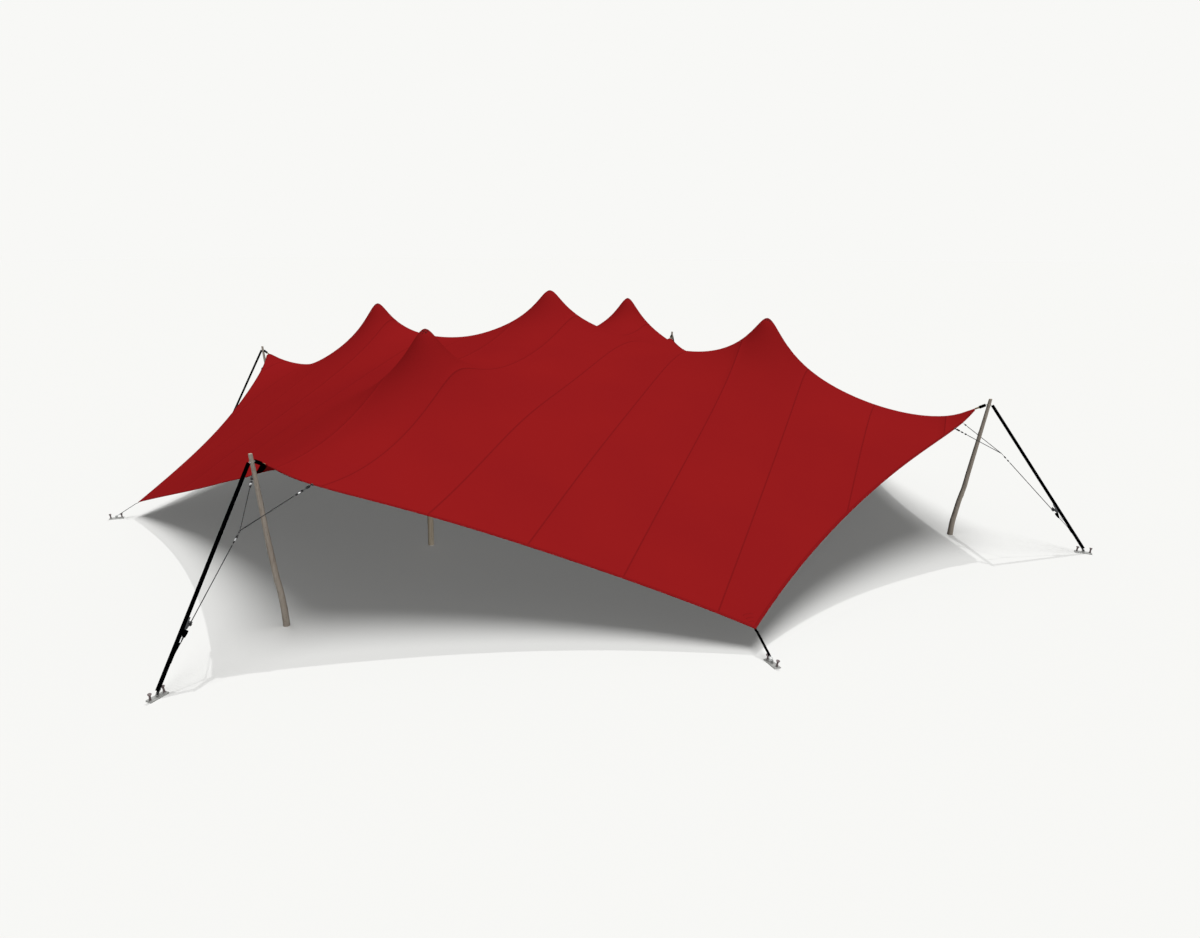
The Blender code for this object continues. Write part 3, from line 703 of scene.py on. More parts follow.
def edge_curve(steps=240):
    """The free edge from the front high point to the front right low point."""
    s = np.linspace(0, 1, steps + 1)
    start = np.array([0.0, -HIGH_REACH])
    run = np.array([LOW_REACH, -LOW_REACH]) - start
    length = np.hypot(*run)
    inward = np.array([-run[1], run[0]]) / length
    swell = 4 * s * (1 - s)
    half = 2 * s - 1
    scallop = swell * np.polynomial.polynomial.polyval(half, EDGE_SCALLOP)
    droop = swell * np.polynomial.polynomial.polyval(half, EDGE_DROOP)
    cusp = s * fall(length, HIGH_PULL, HIGH_ROUNDING) - fall(s * length, HIGH_PULL, HIGH_ROUNDING)
    plan = start + s[:, None] * run + scallop[:, None] * inward
    return np.column_stack([plan, HIGH_LEVEL + s * (LOW_LEVEL - HIGH_LEVEL) - droop + cusp])


EDGE = edge_curve()


def peaks(x, y):
    """The sheet's fall away from the five inner poles and the four high points."""
    level = -fall(np.hypot(x, y), CENTRE_PULL, CENTRE_ROUNDING)
    for a, b in ((0, -1), (1, 0), (0, 1), (-1, 0)):
        inner = np.hypot(x - a * INNER_REACH, y - b * INNER_REACH)
        high = np.hypot(x - a * HIGH_REACH, y - b * HIGH_REACH)
        level = level - fall(inner, INNER_PULL, INNER_ROUNDING) - fall(high, HIGH_PULL, HIGH_ROUNDING)
    return level


def tension_terms(x, y):
    """Smooth shapes with the tent's own fourfold symmetry: those of a film, then swelling ones."""
    place = (x + 1j * y) / TENSION_RADIUS
    film = [(place ** (4 * n)).real for n in range(FILM_TERMS)]
    swell = [abs(place) ** 2 * shape for shape in film[:SWELL_TERMS]]
    return np.array(film + swell)


def fit_tension():
    """The share of each shape that meets the free edge and the pole tops."""
    pole_weight = 300.0
    known = [(x, y, z, 1.0) for x, y, z in EDGE[::6]]
    known += [(0.0, 0.0, CENTRE_HEIGHT, pole_weight), (0.0, -INNER_REACH, INNER_HEIGHT, pole_weight)]
    rows = [weight * tension_terms(x, y) for x, y, _, weight in known]
    wanted = [weight * (z - peaks(x, y)) for x, y, z, weight in known]
    return np.linalg.lstsq(np.array(rows), np.array(wanted), rcond=None)[0]


TENSION = fit_tension()


def sheet_height(x, y):
    return peaks(x, y) + np.tensordot(TENSION, tension_terms(x, y), axes=1)


def on_sheet(x, y):
    """The point of the sheet's upper face at a place in plan, and its normal."""
    step = 0.01
    xs, ys = np.array([x, x - step, x + step, x, x]), np.array([y, y, y, y - step, y + step])
    level, west, east, south, north = (float(z) for z in sheet_height(xs, ys))
    rise = Vector((west - east, south - north, 2 * step))
    return Vector((x, y, level)), rise.normalized()


def rim_reach(x):
    """How far the sheet reaches each way along Y on the line at x."""
    x = np.abs(x)
    front = np.minimum(TIP_REACH, np.interp(x, EDGE[:, 0], -EDGE[:, 1]))
    side = np.interp(x, -EDGE[::-1, 1], EDGE[::-1, 0])
    return np.where(x <= LOW_REACH, front, side)


def half_rim():
    """The free edge in plan, cut off where the high point's webbing holds it."""
    spacing = 0.02
    start = np.interp(-TIP_REACH, EDGE[:, 1], EDGE[:, 0])
    rest = [(x, y) for x, y, _ in EDGE[::2] if y > -TIP_REACH + spacing]
    return [(start, -TIP_REACH)] + rest[:-1] + [(LOW_REACH, -LOW_REACH)]


def full_rim():
    """The whole free edge in plan, anticlockwise from the front high point."""
    half = half_rim()
    side = half + [(-y, -x) for x, y in reversed(half[:-1])]
    return [tuple(quarter_turn((x, y, 0), turns).xy) for turns in range(4) for x, y in side]


def axis_steps(reach, looks):
    """Places along an axis, close together over the pole heads."""
    places = [0.0]
    while places[-1] < reach:
        near = min(abs(places[-1] - head) for head in (0.0, INNER_REACH)) < HEAD_ZONE
        places.append(places[-1] + (looks.fine_step if near else looks.plain_step))
    places[-1] = reach
    if places[-1] - places[-2] < looks.fine_step / 2:
        places.pop(-2)
    return places


def sheet_columns(looks):
    """The mesh lines across the sheet: (x, rise, seam), four at each seam and one at the corners."""
    seams = [(k + 0.5) * PANEL_WIDTH for k in range(int(TIP_REACH / PANEL_WIDTH + 0.5))]
    half = looks.seam_width / 2
    right = [(x, 0.0, None) for x in axis_steps(TIP_REACH, looks)
             if all(abs(x - place) > half + SEAM_ROOM for place in seams + [LOW_REACH])]
    right.append((LOW_REACH, 0.0, None))
    for seam in seams:
        right += [(seam - half - SEAM_EDGE, 0.0, None), (seam - half, looks.seam_rise, seam),
                  (seam + half, looks.seam_rise, seam), (seam + half + SEAM_EDGE, 0.0, None)]
    right = sorted(right, key=itemgetter(0))
    left = [(-x, rise, None if seam is None else -seam) for x, rise, seam in reversed(right[1:])]
    return left + right


def sheet_rows(x, looks):
    """The places of the mesh points on the line at x, from the front edge to the back."""
    reach = float(rim_reach(x))
    full = reach if abs(x) <= LOW_REACH else LOW_REACH
    placed = []
    for y in axis_steps(TIP_REACH, looks):
        if y > STRAIGHT_ROWS:
            y = STRAIGHT_ROWS + (y - STRAIGHT_ROWS) * (full - STRAIGHT_ROWS) / (TIP_REACH - STRAIGHT_ROWS)
        if abs(x) > LOW_REACH:
            y *= reach / LOW_REACH
        placed.append(y)
    return [-y for y in reversed(placed[1:])] + placed


def build_sheet(looks, finishes):
    """One continuous sheet: a thin closed slab with its lapped seams standing up a little."""
    columns = sheet_columns(looks)
    ys = np.array([sheet_rows(x, looks) for x, _, _ in columns])
    wide, high = ys.shape
    xs = np.array([x for x, _, _ in columns])[:, None] * np.ones((1, high))
    rises = np.array([rise for _, rise, _ in columns])[:, None]
    flat = sheet_height(xs, ys) - SHEET_INSET
    shape = Shape()
    for level in (flat + rises, flat - looks.thickness):
        shape.points += [Vector(p) for p in zip(xs.ravel(), ys.ravel(), level.ravel())]
    under = wide * high
    for i in range(wide - 1):
        seam = columns[i][2] if columns[i][2] is not None else columns[i + 1][2]
        for j in range(high - 1):
            a, b = i * high + j, (i + 1) * high + j
            corners = [a, b, b + 1, a + 1]
            places = [(xs.flat[k] - (seam or 0.0), ys.flat[k]) for k in corners]
            finish = 0 if seam is None else 1
            shape.face(corners, places, finish)
            shape.face([under + k for k in reversed(corners)], places[::-1], finish)
    for a, b in slab_rim(wide, high):
        places = [(xs.flat[m], ys.flat[m]) for m in (a, b)]
        shape.face([b, a, under + a, under + b], [places[1], places[0], places[0], places[1]], 0)
    return shape.piece("canopy_sheet", "cloth", finishes, PANELS, sharp=60)


def build_hem(looks, finish):
    """The hem folded over the free edge, with its bead, all the way round."""
    width = looks.hem_width
    # Its cross-section: how far in from the free edge, how far above the sheet's face
    section = [(width, 0.0006), (width - 0.001, 0.0016), (0.006, 0.0018), (0.0, 0.0026),
               (-0.0045, 0.0), (-0.0045, -0.003), (0.0, -0.0062), (0.006, -0.0052),
               (width - 0.001, -0.005), (width, -0.004)]
    rim = full_rim()
    rings = []
    for i, (x, y) in enumerate(rim):
        way = (Vector(rim[(i + 1) % len(rim)]) - Vector(rim[i - 1])).normalized()
        outward = Vector((way.y, -way.x))
        ring = []
        for inwards, lift in section:
            spot = Vector((x, y)) - outward * inwards
            point, normal = on_sheet(spot.x, spot.y)
            ring.append(point + normal * lift)
        rings.append(ring)
    shape = Shape()
    shape.rings(rings, closed=True)
    return shape.piece("canopy_hem", "cloth", [finish], sharp=50)


def build_corner_fans(looks, finishes):
    """A fan of extra cloth at each low corner, held by three sewn arcs."""
    spread, fan_reach, arc_width, columns = 0.36, 0.27, 0.012, 13
    arcs = (0.125, 0.185, 0.245)
    plain_cloth, sewn = finishes

    def fan(near, far, count):
        rows = []
        for radius in np.linspace(near, far, count):
            row = []
            for turn in np.linspace(-spread, spread, columns):
                back = Matrix.Rotation(turn, 3, "Z") @ Vector((-1, 1, 0)).normalized()
                spot = Vector((LOW_REACH, -LOW_REACH, 0)) + back * radius
                row.append(on_sheet(spot.x, spot.y))
            rows.append(row)
        return rows

    pieces = []
    for turns, corner in enumerate(CORNERS):
        shape = Shape()
        shape.grid(fan(looks.hem_width, fan_reach, count=6), low=-SHEET_INSET, high=0.0002)
        pieces.append(shape.piece(f"{corner}_fan", "cloth", [plain_cloth], turns=turns))
        shape = Shape()
        for radius in arcs:
            arc = fan(radius - arc_width / 2, radius + arc_width / 2, count=2)
            shape.grid(arc, low=-SHEET_INSET, high=0.001)
        pieces.append(shape.piece(f"{corner}_arcs", "cloth", [sewn], turns=turns))
    return pieces


def along_rim(distance, inwards, hand):
    """A point of the sheet at a distance along the rim from a high point, and its normal."""
    step, clear_of_middle = 0.05, 0.001
    rim = np.array(half_rim())
    run = np.concatenate([[0.0], np.cumsum(np.hypot(*np.diff(rim, axis=0).T))])
    here, ahead = (Vector([float(np.interp(d, run, rim[:, k])) for k in (0, 1)])
                   for d in (distance, distance + step))
    way = (ahead - here).normalized()
    spot = here + Vector((-way.y, way.x)) * inwards
    return on_sheet(hand * max(spot.x, clear_of_middle), spot.y)


def build_tip_bands(looks, finish):
    """Webbing sewn under the rim on both sides of each high point, where the pull gathers."""
    low, high = -0.0088, -0.0066
    widths = np.linspace(0, looks.band_width, 5)
    lengths = np.linspace(0, looks.band_length, 13)
    pieces = []
    for turns, side in enumerate(SIDES):
        shape = Shape()
        for hand in (-1, 1):
            rows = [[along_rim(along, inwards, hand) for inwards in widths] for along in lengths]
            shape.grid(rows, low=low, high=high)
        pieces.append(shape.piece(f"{side}_tip_bands", "webbing", [finish], turns=turns))
    return pieces


# Poles


def pole_line(side, turns):
    """Heights, centres and radii of a packed outer pole, turned to the front side."""
    levels = {}
    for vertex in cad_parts[f"{side}_outer_pole"].data.vertices:
        spot = quarter_turn(vertex.co, -turns)
        levels.setdefault(round(spot.z, 3), []).append(spot)
    heights = sorted(levels)
    centres, radii = [], []
    for height in heights:
        spots = levels[height]
        low = [min(s[k] for s in spots) for k in (0, 1)]
        high = [max(s[k] for s in spots) for k in (0, 1)]
        centres.append(((low[0] + high[0]) / 2, (low[1] + high[1]) / 2))
        radii.append((high[0] - low[0]) / 2)
    return np.array(heights), np.array(centres), np.array(radii)


def pole_centre(line, level):
    """The middle of a pole at a height, with its bends eased over a hand's breadth."""
    hand = 0.09
    heights, centres, _ = line
    plain = hand < level < heights[-1] - hand
    ease = np.linspace(-hand, hand, 7) if plain else np.zeros(1)
    return [float(np.mean(np.interp(level + ease, heights, centres[:, k]))) for k in (0, 1)]


# Knots of an outer pole: height, turn about the pole in radians, how proud
KNOTS = ((0.31, 1.1, 0.005), (0.82, 3.7, 0.0055), (1.06, 5.9, 0.004), (1.43, 2.2, 0.005),
         (1.88, 4.6, 0.004), (2.21, 0.4, 0.0045), (2.58, 2.9, 0.003))
KNOT_HALF_HEIGHT = 0.035
KNOT_HALF_WIDTH = 0.028
# How the knots move from one side's pole to the next: radians about it, metres up it, and the
# height at which that starts again
KNOT_TURN = 1.3
KNOT_CLIMB = 0.07
KNOT_CLIMB_LIMIT = 0.2
# How proud the timber may stand where the collar sits on it
COLLAR_SEAT = 0.0012
# A wandering girth and tool marks, as noise: its rate about the pole and along it, its height
TIMBER_WAVES = ((0.9, 1.7, 0.0022), (3.5, 7.0, 0.0009))
# The drawn rings of a pole: their spacing, how far inside the solid, how near its top they stay
# even, and the last ones as their distance below the top and how much they draw in
RING_SPACING = 0.03
TIMBER_INSET = 0.0016
TOP_ROOM = 0.02
TOP_RINGS = ((0.014, 0.0), (0.003, 0.001), (0.0, 0.004))


def timber_relief(level, turn, girth, turns):
    """How proud the timber stands at a place: a wandering girth, tool marks and knots."""
    seed = 11.0 * turns
    way = Vector((math.cos(turn), math.sin(turn)))
    proud = 0.0
    for about, along, size in TIMBER_WAVES:
        proud += size * noise.noise(Vector((way.x * about + seed, way.y * about, level * along)))
    for height, round_at, size in KNOTS:
        gap = (turn - round_at - turns * KNOT_TURN + math.pi) % (2 * math.pi) - math.pi
        rise = level - height - KNOT_CLIMB * turns % KNOT_CLIMB_LIMIT
        away = (rise / KNOT_HALF_HEIGHT) ** 2 + (gap * girth / KNOT_HALF_WIDTH) ** 2
        proud += size * math.exp(-away)
    return min(proud, COLLAR_SEAT) if level > COLLAR_LEVEL - 2 * COLLAR_HEIGHT else proud


def build_outer_pole(side, turns, looks, finishes):
    """A natural gum pole: its own bends, a wandering girth, knots and a sawn top."""
    line = pole_line(side, turns)
    heights, _, radii = line
    top = heights[-1]
    levels = [(level, 0.0) for level in np.arange(0.0, top - TOP_ROOM, RING_SPACING)]
    levels += [(top - below, drawn_in) for below, drawn_in in TOP_RINGS]
    rings = []
    for level, drawn_in in levels:
        x, y = pole_centre(line, level)
        girth = float(np.interp(level, heights[:-1], radii[:-1])) - TIMBER_INSET - drawn_in
        ring = []
        for k in range(looks.sides):
            turn = 2 * math.pi * k / looks.sides
            reach = girth + timber_relief(level, turn, girth, turns)
            ring.append(Vector((x + math.cos(turn) * reach, y + math.sin(turn) * reach, level)))
        rings.append(ring)
    shape = Shape()
    shape.rings(rings, cap_finish=1)
    shape.piece(f"{side}_outer_timber", "outer_pole", finishes, [f"{side}_outer_pole"], turns=turns)


# A padded head's cover below the sheet: height above its foot, radius
PAD_PROFILE = ((-0.006, 0.0645), (-0.002, 0.072), (0.015, 0.090), (0.04, 0.1035), (0.07, 0.1085),
               (0.10, 0.109))
PAD_TOP = (0.109, 0.100, 0.086, 0.070, 0.052, 0.034, 0.016)
PAD_DEPTH = 0.22
PAD_GAP = 0.0006
PAD_SIDES = 32
# The band round the pad's foot: how far above it, radius, width
PAD_BAND = (0.008, 0.0675, 0.025)
# A straight pole: radius, its rings' spacing, how far it runs into the pad, and its wave
INNER_RADIUS = 0.0613
INNER_SPACING = 0.06
INTO_PAD = 0.02
INNER_WAVE = (0.8, 1.1, 0.0011)


def build_inner_pole(name, looks, finishes):
    """A straight inner pole, with a padded head that carries the sheet's peak."""
    place = middle(name)
    foot = Vector((place.x, place.y, 0))
    pad_level = float(sheet_height(place.x, place.y)) - PAD_DEPTH
    about, along, size = INNER_WAVE
    rings = []
    for level in list(np.arange(0.0, pad_level, INNER_SPACING)) + [pad_level + INTO_PAD]:
        ring = []
        for spot in ring_round(foot, UP, 1.0, looks.sides, ACROSS):
            way = spot - foot
            wave = noise.noise(Vector((way.x * about + foot.x, way.y * about + foot.y, level * along)))
            ring.append(foot + UP * level + way * (INNER_RADIUS + size * wave))
        rings.append(ring)
    shape = Shape()
    shape.rings(rings, cap_finish=1)
    shape.piece(f"{name}_timber", "inner_pole", finishes[:2], [name])

    rings = [ring_round(foot + UP * (pad_level + lift), UP, wide, PAD_SIDES)
             for lift, wide in PAD_PROFILE]
    for wide in PAD_TOP:
        ring = []
        for spot in ring_round(foot, UP, wide, PAD_SIDES):
            under = float(sheet_height(spot.x, spot.y)) - SOLID_CLOTH - PAD_GAP
            ring.append(Vector((spot.x, spot.y, under)))
        rings.append(ring)
    shape = Shape()
    shape.rings(rings)
    pad = shape.piece(f"{name}_head_pad", "cloth", [finishes[2]])
    shape = Shape()
    lift, radius, width = PAD_BAND
    band = ring_round(foot + UP * (pad_level + lift), UP, radius, PAD_SIDES)
    add_webbing(shape, band, UP, width, closed=True)
    shape.piece(f"{name}_pad_band", "webbing", [finishes[3]])


# Stays


# The collar round an outer pole: how far out the middle of its wall is, and its wall
COLLAR_OUT = 0.004
COLLAR_WALL = 0.005
COLLAR_LINK = (0.030, 0.007)
# How far a link reaches into the end of the sling that it holds
LINK_HOLD = 0.015
# The tab under the sheet's tip: reach inwards and outwards, width, thickness and how far under
# the sheet's face its middle is. Then its eye, which the tan rope is rove through
TIP_TAB = (0.042, 0.020, 0.046, 0.005)
TIP_TAB_UNDER = 0.0065
TIP_EYE = (0.012, 0.003)
ROPE_TUCK = 0.012
# The sides where a webbing sleeve covers the tan rope, and that sleeve's width and depth
KEEPER_SIDES = ("front",)
KEEPER = (0.052, 0.046)
# The clevis on an anchor's lug: cheeks from the pin, their neck, and the bar in the webbing as
# its height above the pin and its radius
CHEEK = (-0.014, 0.055, 0.007, 0.028)
CHEEK_APART = 0.0115
NECK = (0.046, 0.060, 0.040, 0.024)
CLEVIS_BAR = (0.071, 0.008)
# Its arms, beside the webbing: gap to it, thickness, depth. The crosspiece that carries them: how
# far above the neck's foot, how far past the webbing, thickness, depth
CLEVIS_ARM = (0.004, 0.007, 0.016)
CROSSPIECE = (0.005, 0.007, 0.012, 0.016)
PIN_HALF = 0.022
PIN_RADIUS = 0.0065


def stay_places(side, turns):
    """The main places of a stay on the front side: collar, pole radius, pin and strap direction."""
    line = pole_line(side, turns)
    x, y = pole_centre(line, COLLAR_LEVEL)
    collar = Vector((x, y, COLLAR_LEVEL))
    radius = float(np.interp(COLLAR_LEVEL, line[0], line[2]))
    pin = Vector((0, -STAY_REACH, PIN_LEVEL))
    wall = collar - Vector((0, radius + COLLAR_OUT, 0))
    return collar, radius, pin, (wall - pin).normalized()


def add_clevis(shape, pin, up, across, width):
    """Two cheeks on the lug's pin, joined above it by a neck and the bar that webbing goes round."""
    low, high, thick, deep = CHEEK
    for hand in (-1, 1):
        start, end = places_along(pin + across * hand * CHEEK_APART, up, low, high)
        add_bar(shape, start, end, across, thick, deep)
    low, high, wide, deep = NECK
    add_bar(shape, *places_along(pin, up, low, high), across, wide, deep)
    level, radius = CLEVIS_BAR
    add_pin(shape, pin + up * level, across, width / 2 + radius, radius)
    beside, thick, deep = CLEVIS_ARM
    for hand in (-1, 1):
        arm = pin + across * hand * (width / 2 + beside)
        add_bar(shape, arm + up * low, arm + up * level, across, thick, deep)
    above, beyond, thick, deep = CROSSPIECE
    half = width / 2 + beyond
    add_bar(shape, *places_along(pin + up * (low + above), across, -half, half), up, thick, deep)
    add_pin(shape, pin, across, PIN_HALF, PIN_RADIUS)


def build_stay(side, turns, looks, materials):
    """The sleeved webbing over a pole to its anchor, and the sling and rope to the sheet."""
    collar, radius, pin, up_strap = stay_places(side, turns)
    away = ACROSS.cross(up_strap) * STRAP_OUT
    wide, deep = STAY_SECTION
    out = Vector((0, radius + COLLAR_OUT, 0))
    outer_wall, inner_wall = collar - out, collar + out
    tip, normal = on_sheet(0.0, -TIP_REACH)
    inside, beyond, tab_width, tab_thickness = TIP_TAB
    along = normal.cross(ACROSS).normalized()
    tab = places_along(tip - normal * TIP_TAB_UNDER, along, inside, 0.0, -beyond)
    run = (inner_wall - tab[-1]).normalized()
    rope_end = tab[-1] + run * (TIP_EYE[0] + TIP_ROPE_LENGTH)

    shape = Shape()
    start, end = pin + away + up_strap * STRAP_START, outer_wall + away - up_strap * SLING_END
    add_sleeve(shape, straight(start, end, count=24), ACROSS, wide, deep)
    add_sleeve(shape, straight(rope_end, inner_wall - run * SLING_END, count=5), ACROSS, wide, deep)
    if side in KEEPER_SIDES:
        under = tab[1] - normal * KEEPER[1] / 2
        add_sleeve(shape, straight(under, rope_end + run * ROPE_TUCK, count=5), ACROSS, *KEEPER)
    add_webbing(shape, tab, ACROSS, tab_width, tab_thickness)
    shape.piece(f"{side}_stay_webbing", "webbing", [materials["webbing"]],
                [f"{side}_stay_strap"], turns=turns)

    shape = Shape()
    rope = straight(tab[1], rope_end + run * ROPE_TUCK, count=6)
    add_tube(shape, rope, looks.rope_radius, sides=14)
    shape.piece(f"{side}_tip_rope", "webbing", [materials["rope"]], turns=turns)

    shape = Shape()
    band = ring_round(collar, UP, radius + COLLAR_OUT, sides=32)
    add_webbing(shape, band, UP, COLLAR_HEIGHT, COLLAR_WALL, closed=True)
    shape.piece(f"{side}_collar", "anchor", [materials["band"]], turns=turns)

    shape = Shape()
    for wall, way in ((outer_wall, -up_strap), (inner_wall, -run)):
        add_link(shape, wall, wall + way * (SLING_END + LINK_HOLD), ACROSS, *COLLAR_LINK)
    eye = tab[-1] + run * TIP_EYE[0] / 2
    loop = ring_round(eye, run.cross(ACROSS), TIP_EYE[0], sides=20)
    add_tube(shape, loop, TIP_EYE[1], sides=8, closed=True)
    shape.piece(f"{side}_stay_links", "anchor", [materials["zinc"]], turns=turns)

    shape = Shape()
    add_clevis(shape, pin, up_strap, ACROSS, wide)
    shape.piece(f"{side}_stay_clevis", "anchor", [materials["black_steel"]], turns=turns)


# Bridles

# What holds a bridle's wire to the rim, from the rim towards the junction: kind of part, where
# it starts and ends, its width, and its depth or wire
RIM_CHAIN = (
    ("link", 0.004, 0.052, 0.026, 0.006),
    ("body", 0.038, 0.113, 0.045, 0.030),
    ("link", 0.103, 0.172, 0.022, 0.005),
    ("body", 0.160, 0.205, 0.036, 0.024),
    ("snap", 0.197, 0.252, 0.028, 0.010),
    ("barrel", 0.257, 0.297, 0.030, 0.030),
    ("link", 0.290, 0.338, 0.018, 0.004),
    ("link", 0.246, 0.262, 0.014, 0.004),
)
# The same from the junction down to the ratchet's wire
JUNCTION_CHAIN = (
    ("link", -0.014, 0.034, 0.030, 0.007),
    ("link", 0.022, 0.085, 0.026, 0.006),
    ("body", 0.075, 0.125, 0.034, 0.022),
    ("snap", 0.117, 0.168, 0.028, 0.009),
    ("barrel", 0.175, 0.210, 0.026, 0.026),
    ("link", 0.160, 0.182, 0.014, 0.004),
    ("link", 0.204, 0.250, 0.018, 0.004),
)
WIRE_FROM_RIM = 0.332
WIRE_FROM_JUNCTION = 0.244
# The solid part of a snap hook: its share of the hook's length and of its width
SNAP_BODY = (0.45, 0.8)
# The clamp's two jaws on the cloth: how deep they bite, how far they stand out, width, thickness
RIM_JAW = (0.015, 0.012, 0.036, 0.009)


def rim_spot(aside):
    """The free edge beside the front high point: its place, normal and the way out."""
    step = 0.02
    before, y, after = -np.interp(abs(aside) + np.array([-step, 0, step]), EDGE[:, 0], -EDGE[:, 1])
    point, normal = on_sheet(aside, float(y))
    slope = float(after - before) / (2 * step) * math.copysign(1, aside)
    outward = Vector((slope, -1, 0)).normalized()
    return point, normal, (outward - outward.dot(normal) * normal).normalized()


def add_chain(bright, black, start, run, side, chain):
    """The steel parts of a chain along a line: links, snap hooks, blocks and swaged barrels."""
    for kind, first, last, width, depth in chain:
        near, far = places_along(start, run, first, last)
        if kind == "link":
            add_link(black, near, far, side, width, depth)
        elif kind == "snap":
            add_link(bright, near, far, side, width, depth)
            add_bar(bright, near, near.lerp(far, SNAP_BODY[0]), side, width * SNAP_BODY[1], depth)
        elif kind == "body":
            add_bar(black, near, far, side, width, depth, chamfer=0.25)
        else:
            half, cut = width / 2, width / 8
            add_turned(black, near, run, [(0.0, half - cut), (cut, half), (last - first - cut, half),
                                          (last - first, half - cut)], sides=12)


def build_bridle(side, turns, looks, materials):
    """Two clamps on the rim, their chains and wires to the junction, and the wire to the ratchet."""
    junction = Vector((0, -JUNCTION[0], JUNCTION[1]))
    top = Vector((0, -RATCHET_TOP[0], RATCHET_TOP[1]))
    bite, stand, jaw_width, jaw_thickness = RIM_JAW
    black, bright, wires = Shape(), Shape(), Shape()
    for hand in (-1, 1):
        point, normal, outward = rim_spot(hand * CLAMP_ASIDE)
        hold = point - normal * SOLID_CLOTH / 2
        for lift in (-1, 1):
            jaw = hold + normal * lift * (SOLID_CLOTH + jaw_thickness) / 2
            add_bar(black, *places_along(jaw, outward, -bite, stand), outward.cross(normal), jaw_width,
                    jaw_thickness, chamfer=0.25)
        run = (junction - point).normalized()
        add_chain(bright, black, point, run, run.cross(UP).normalized(), RIM_CHAIN)
        wire = straight(point + run * WIRE_FROM_RIM, junction, count=12)
        add_tube(wires, wire, looks.wire_radius, sides=8)
    run = (top - junction).normalized()
    add_chain(bright, black, junction, run, ACROSS, JUNCTION_CHAIN)
    wire = straight(junction + run * WIRE_FROM_JUNCTION, top, count=14)
    add_tube(wires, wire, looks.wire_radius, sides=8)
    wires.piece(f"{side}_bridle_wires", "bridle", [materials["wire"]], [f"{side}_bridle"], turns=turns)
    bright.piece(f"{side}_bridle_links", "bridle", [materials["zinc"]], turns=turns)
    black.piece(f"{side}_bridle_clamps", "bridle", [materials["black_steel"]], turns=turns)


# The ratchet, as metres down from its upper end and metres out towards the strap. Its plates and
# the sides of its folded handle: start, end, depth
RATCHET_HALF = 0.024
RATCHET_PLATE = ((-0.010, 0.022), (0.112, 0.046), 0.030)
RATCHET_HANDLE = ((-0.052, 0.082), (0.122, 0.056), 0.026)
HANDLE_BACK = 0.011
PLATE_STEEL = 0.003
WHEEL_PLACE = (0.034, 0.014)
WHEEL_RADII = (0.020, 0.034)
WHEEL_TEETH = 8
WHEEL_HALF = 0.002
# How far from the middle the wheels stand, as a share of the plates' distance
WHEEL_ASIDE = 1.12
SPOOL = (0.019, 0.020)
RATCHET_PINS = ((0.000, 0.000, 0.007), (*WHEEL_PLACE, 0.009), (0.098, 0.046, 0.006))
# The webbing wound below it, as rectangles down it: down, out, half width, half depth. Then the
# lashing that runs on from it: width, thickness
RATCHET_BLOCK = ((0.120, 0.026, 0.021, 0.028), (0.128, 0.022, 0.025, 0.034), (0.170, 0.012, 0.025, 0.026),
                 (0.225, 0.004, 0.020, 0.013))
LASHING = (0.034, 0.006)
# How far down the strap the lashing is sewn to it
LASHING_BELOW = 0.13
# The hook: start, end, width, wire
HOOK = ((0.220, 0.034), (0.315, 0.034), 0.036, 0.0065)


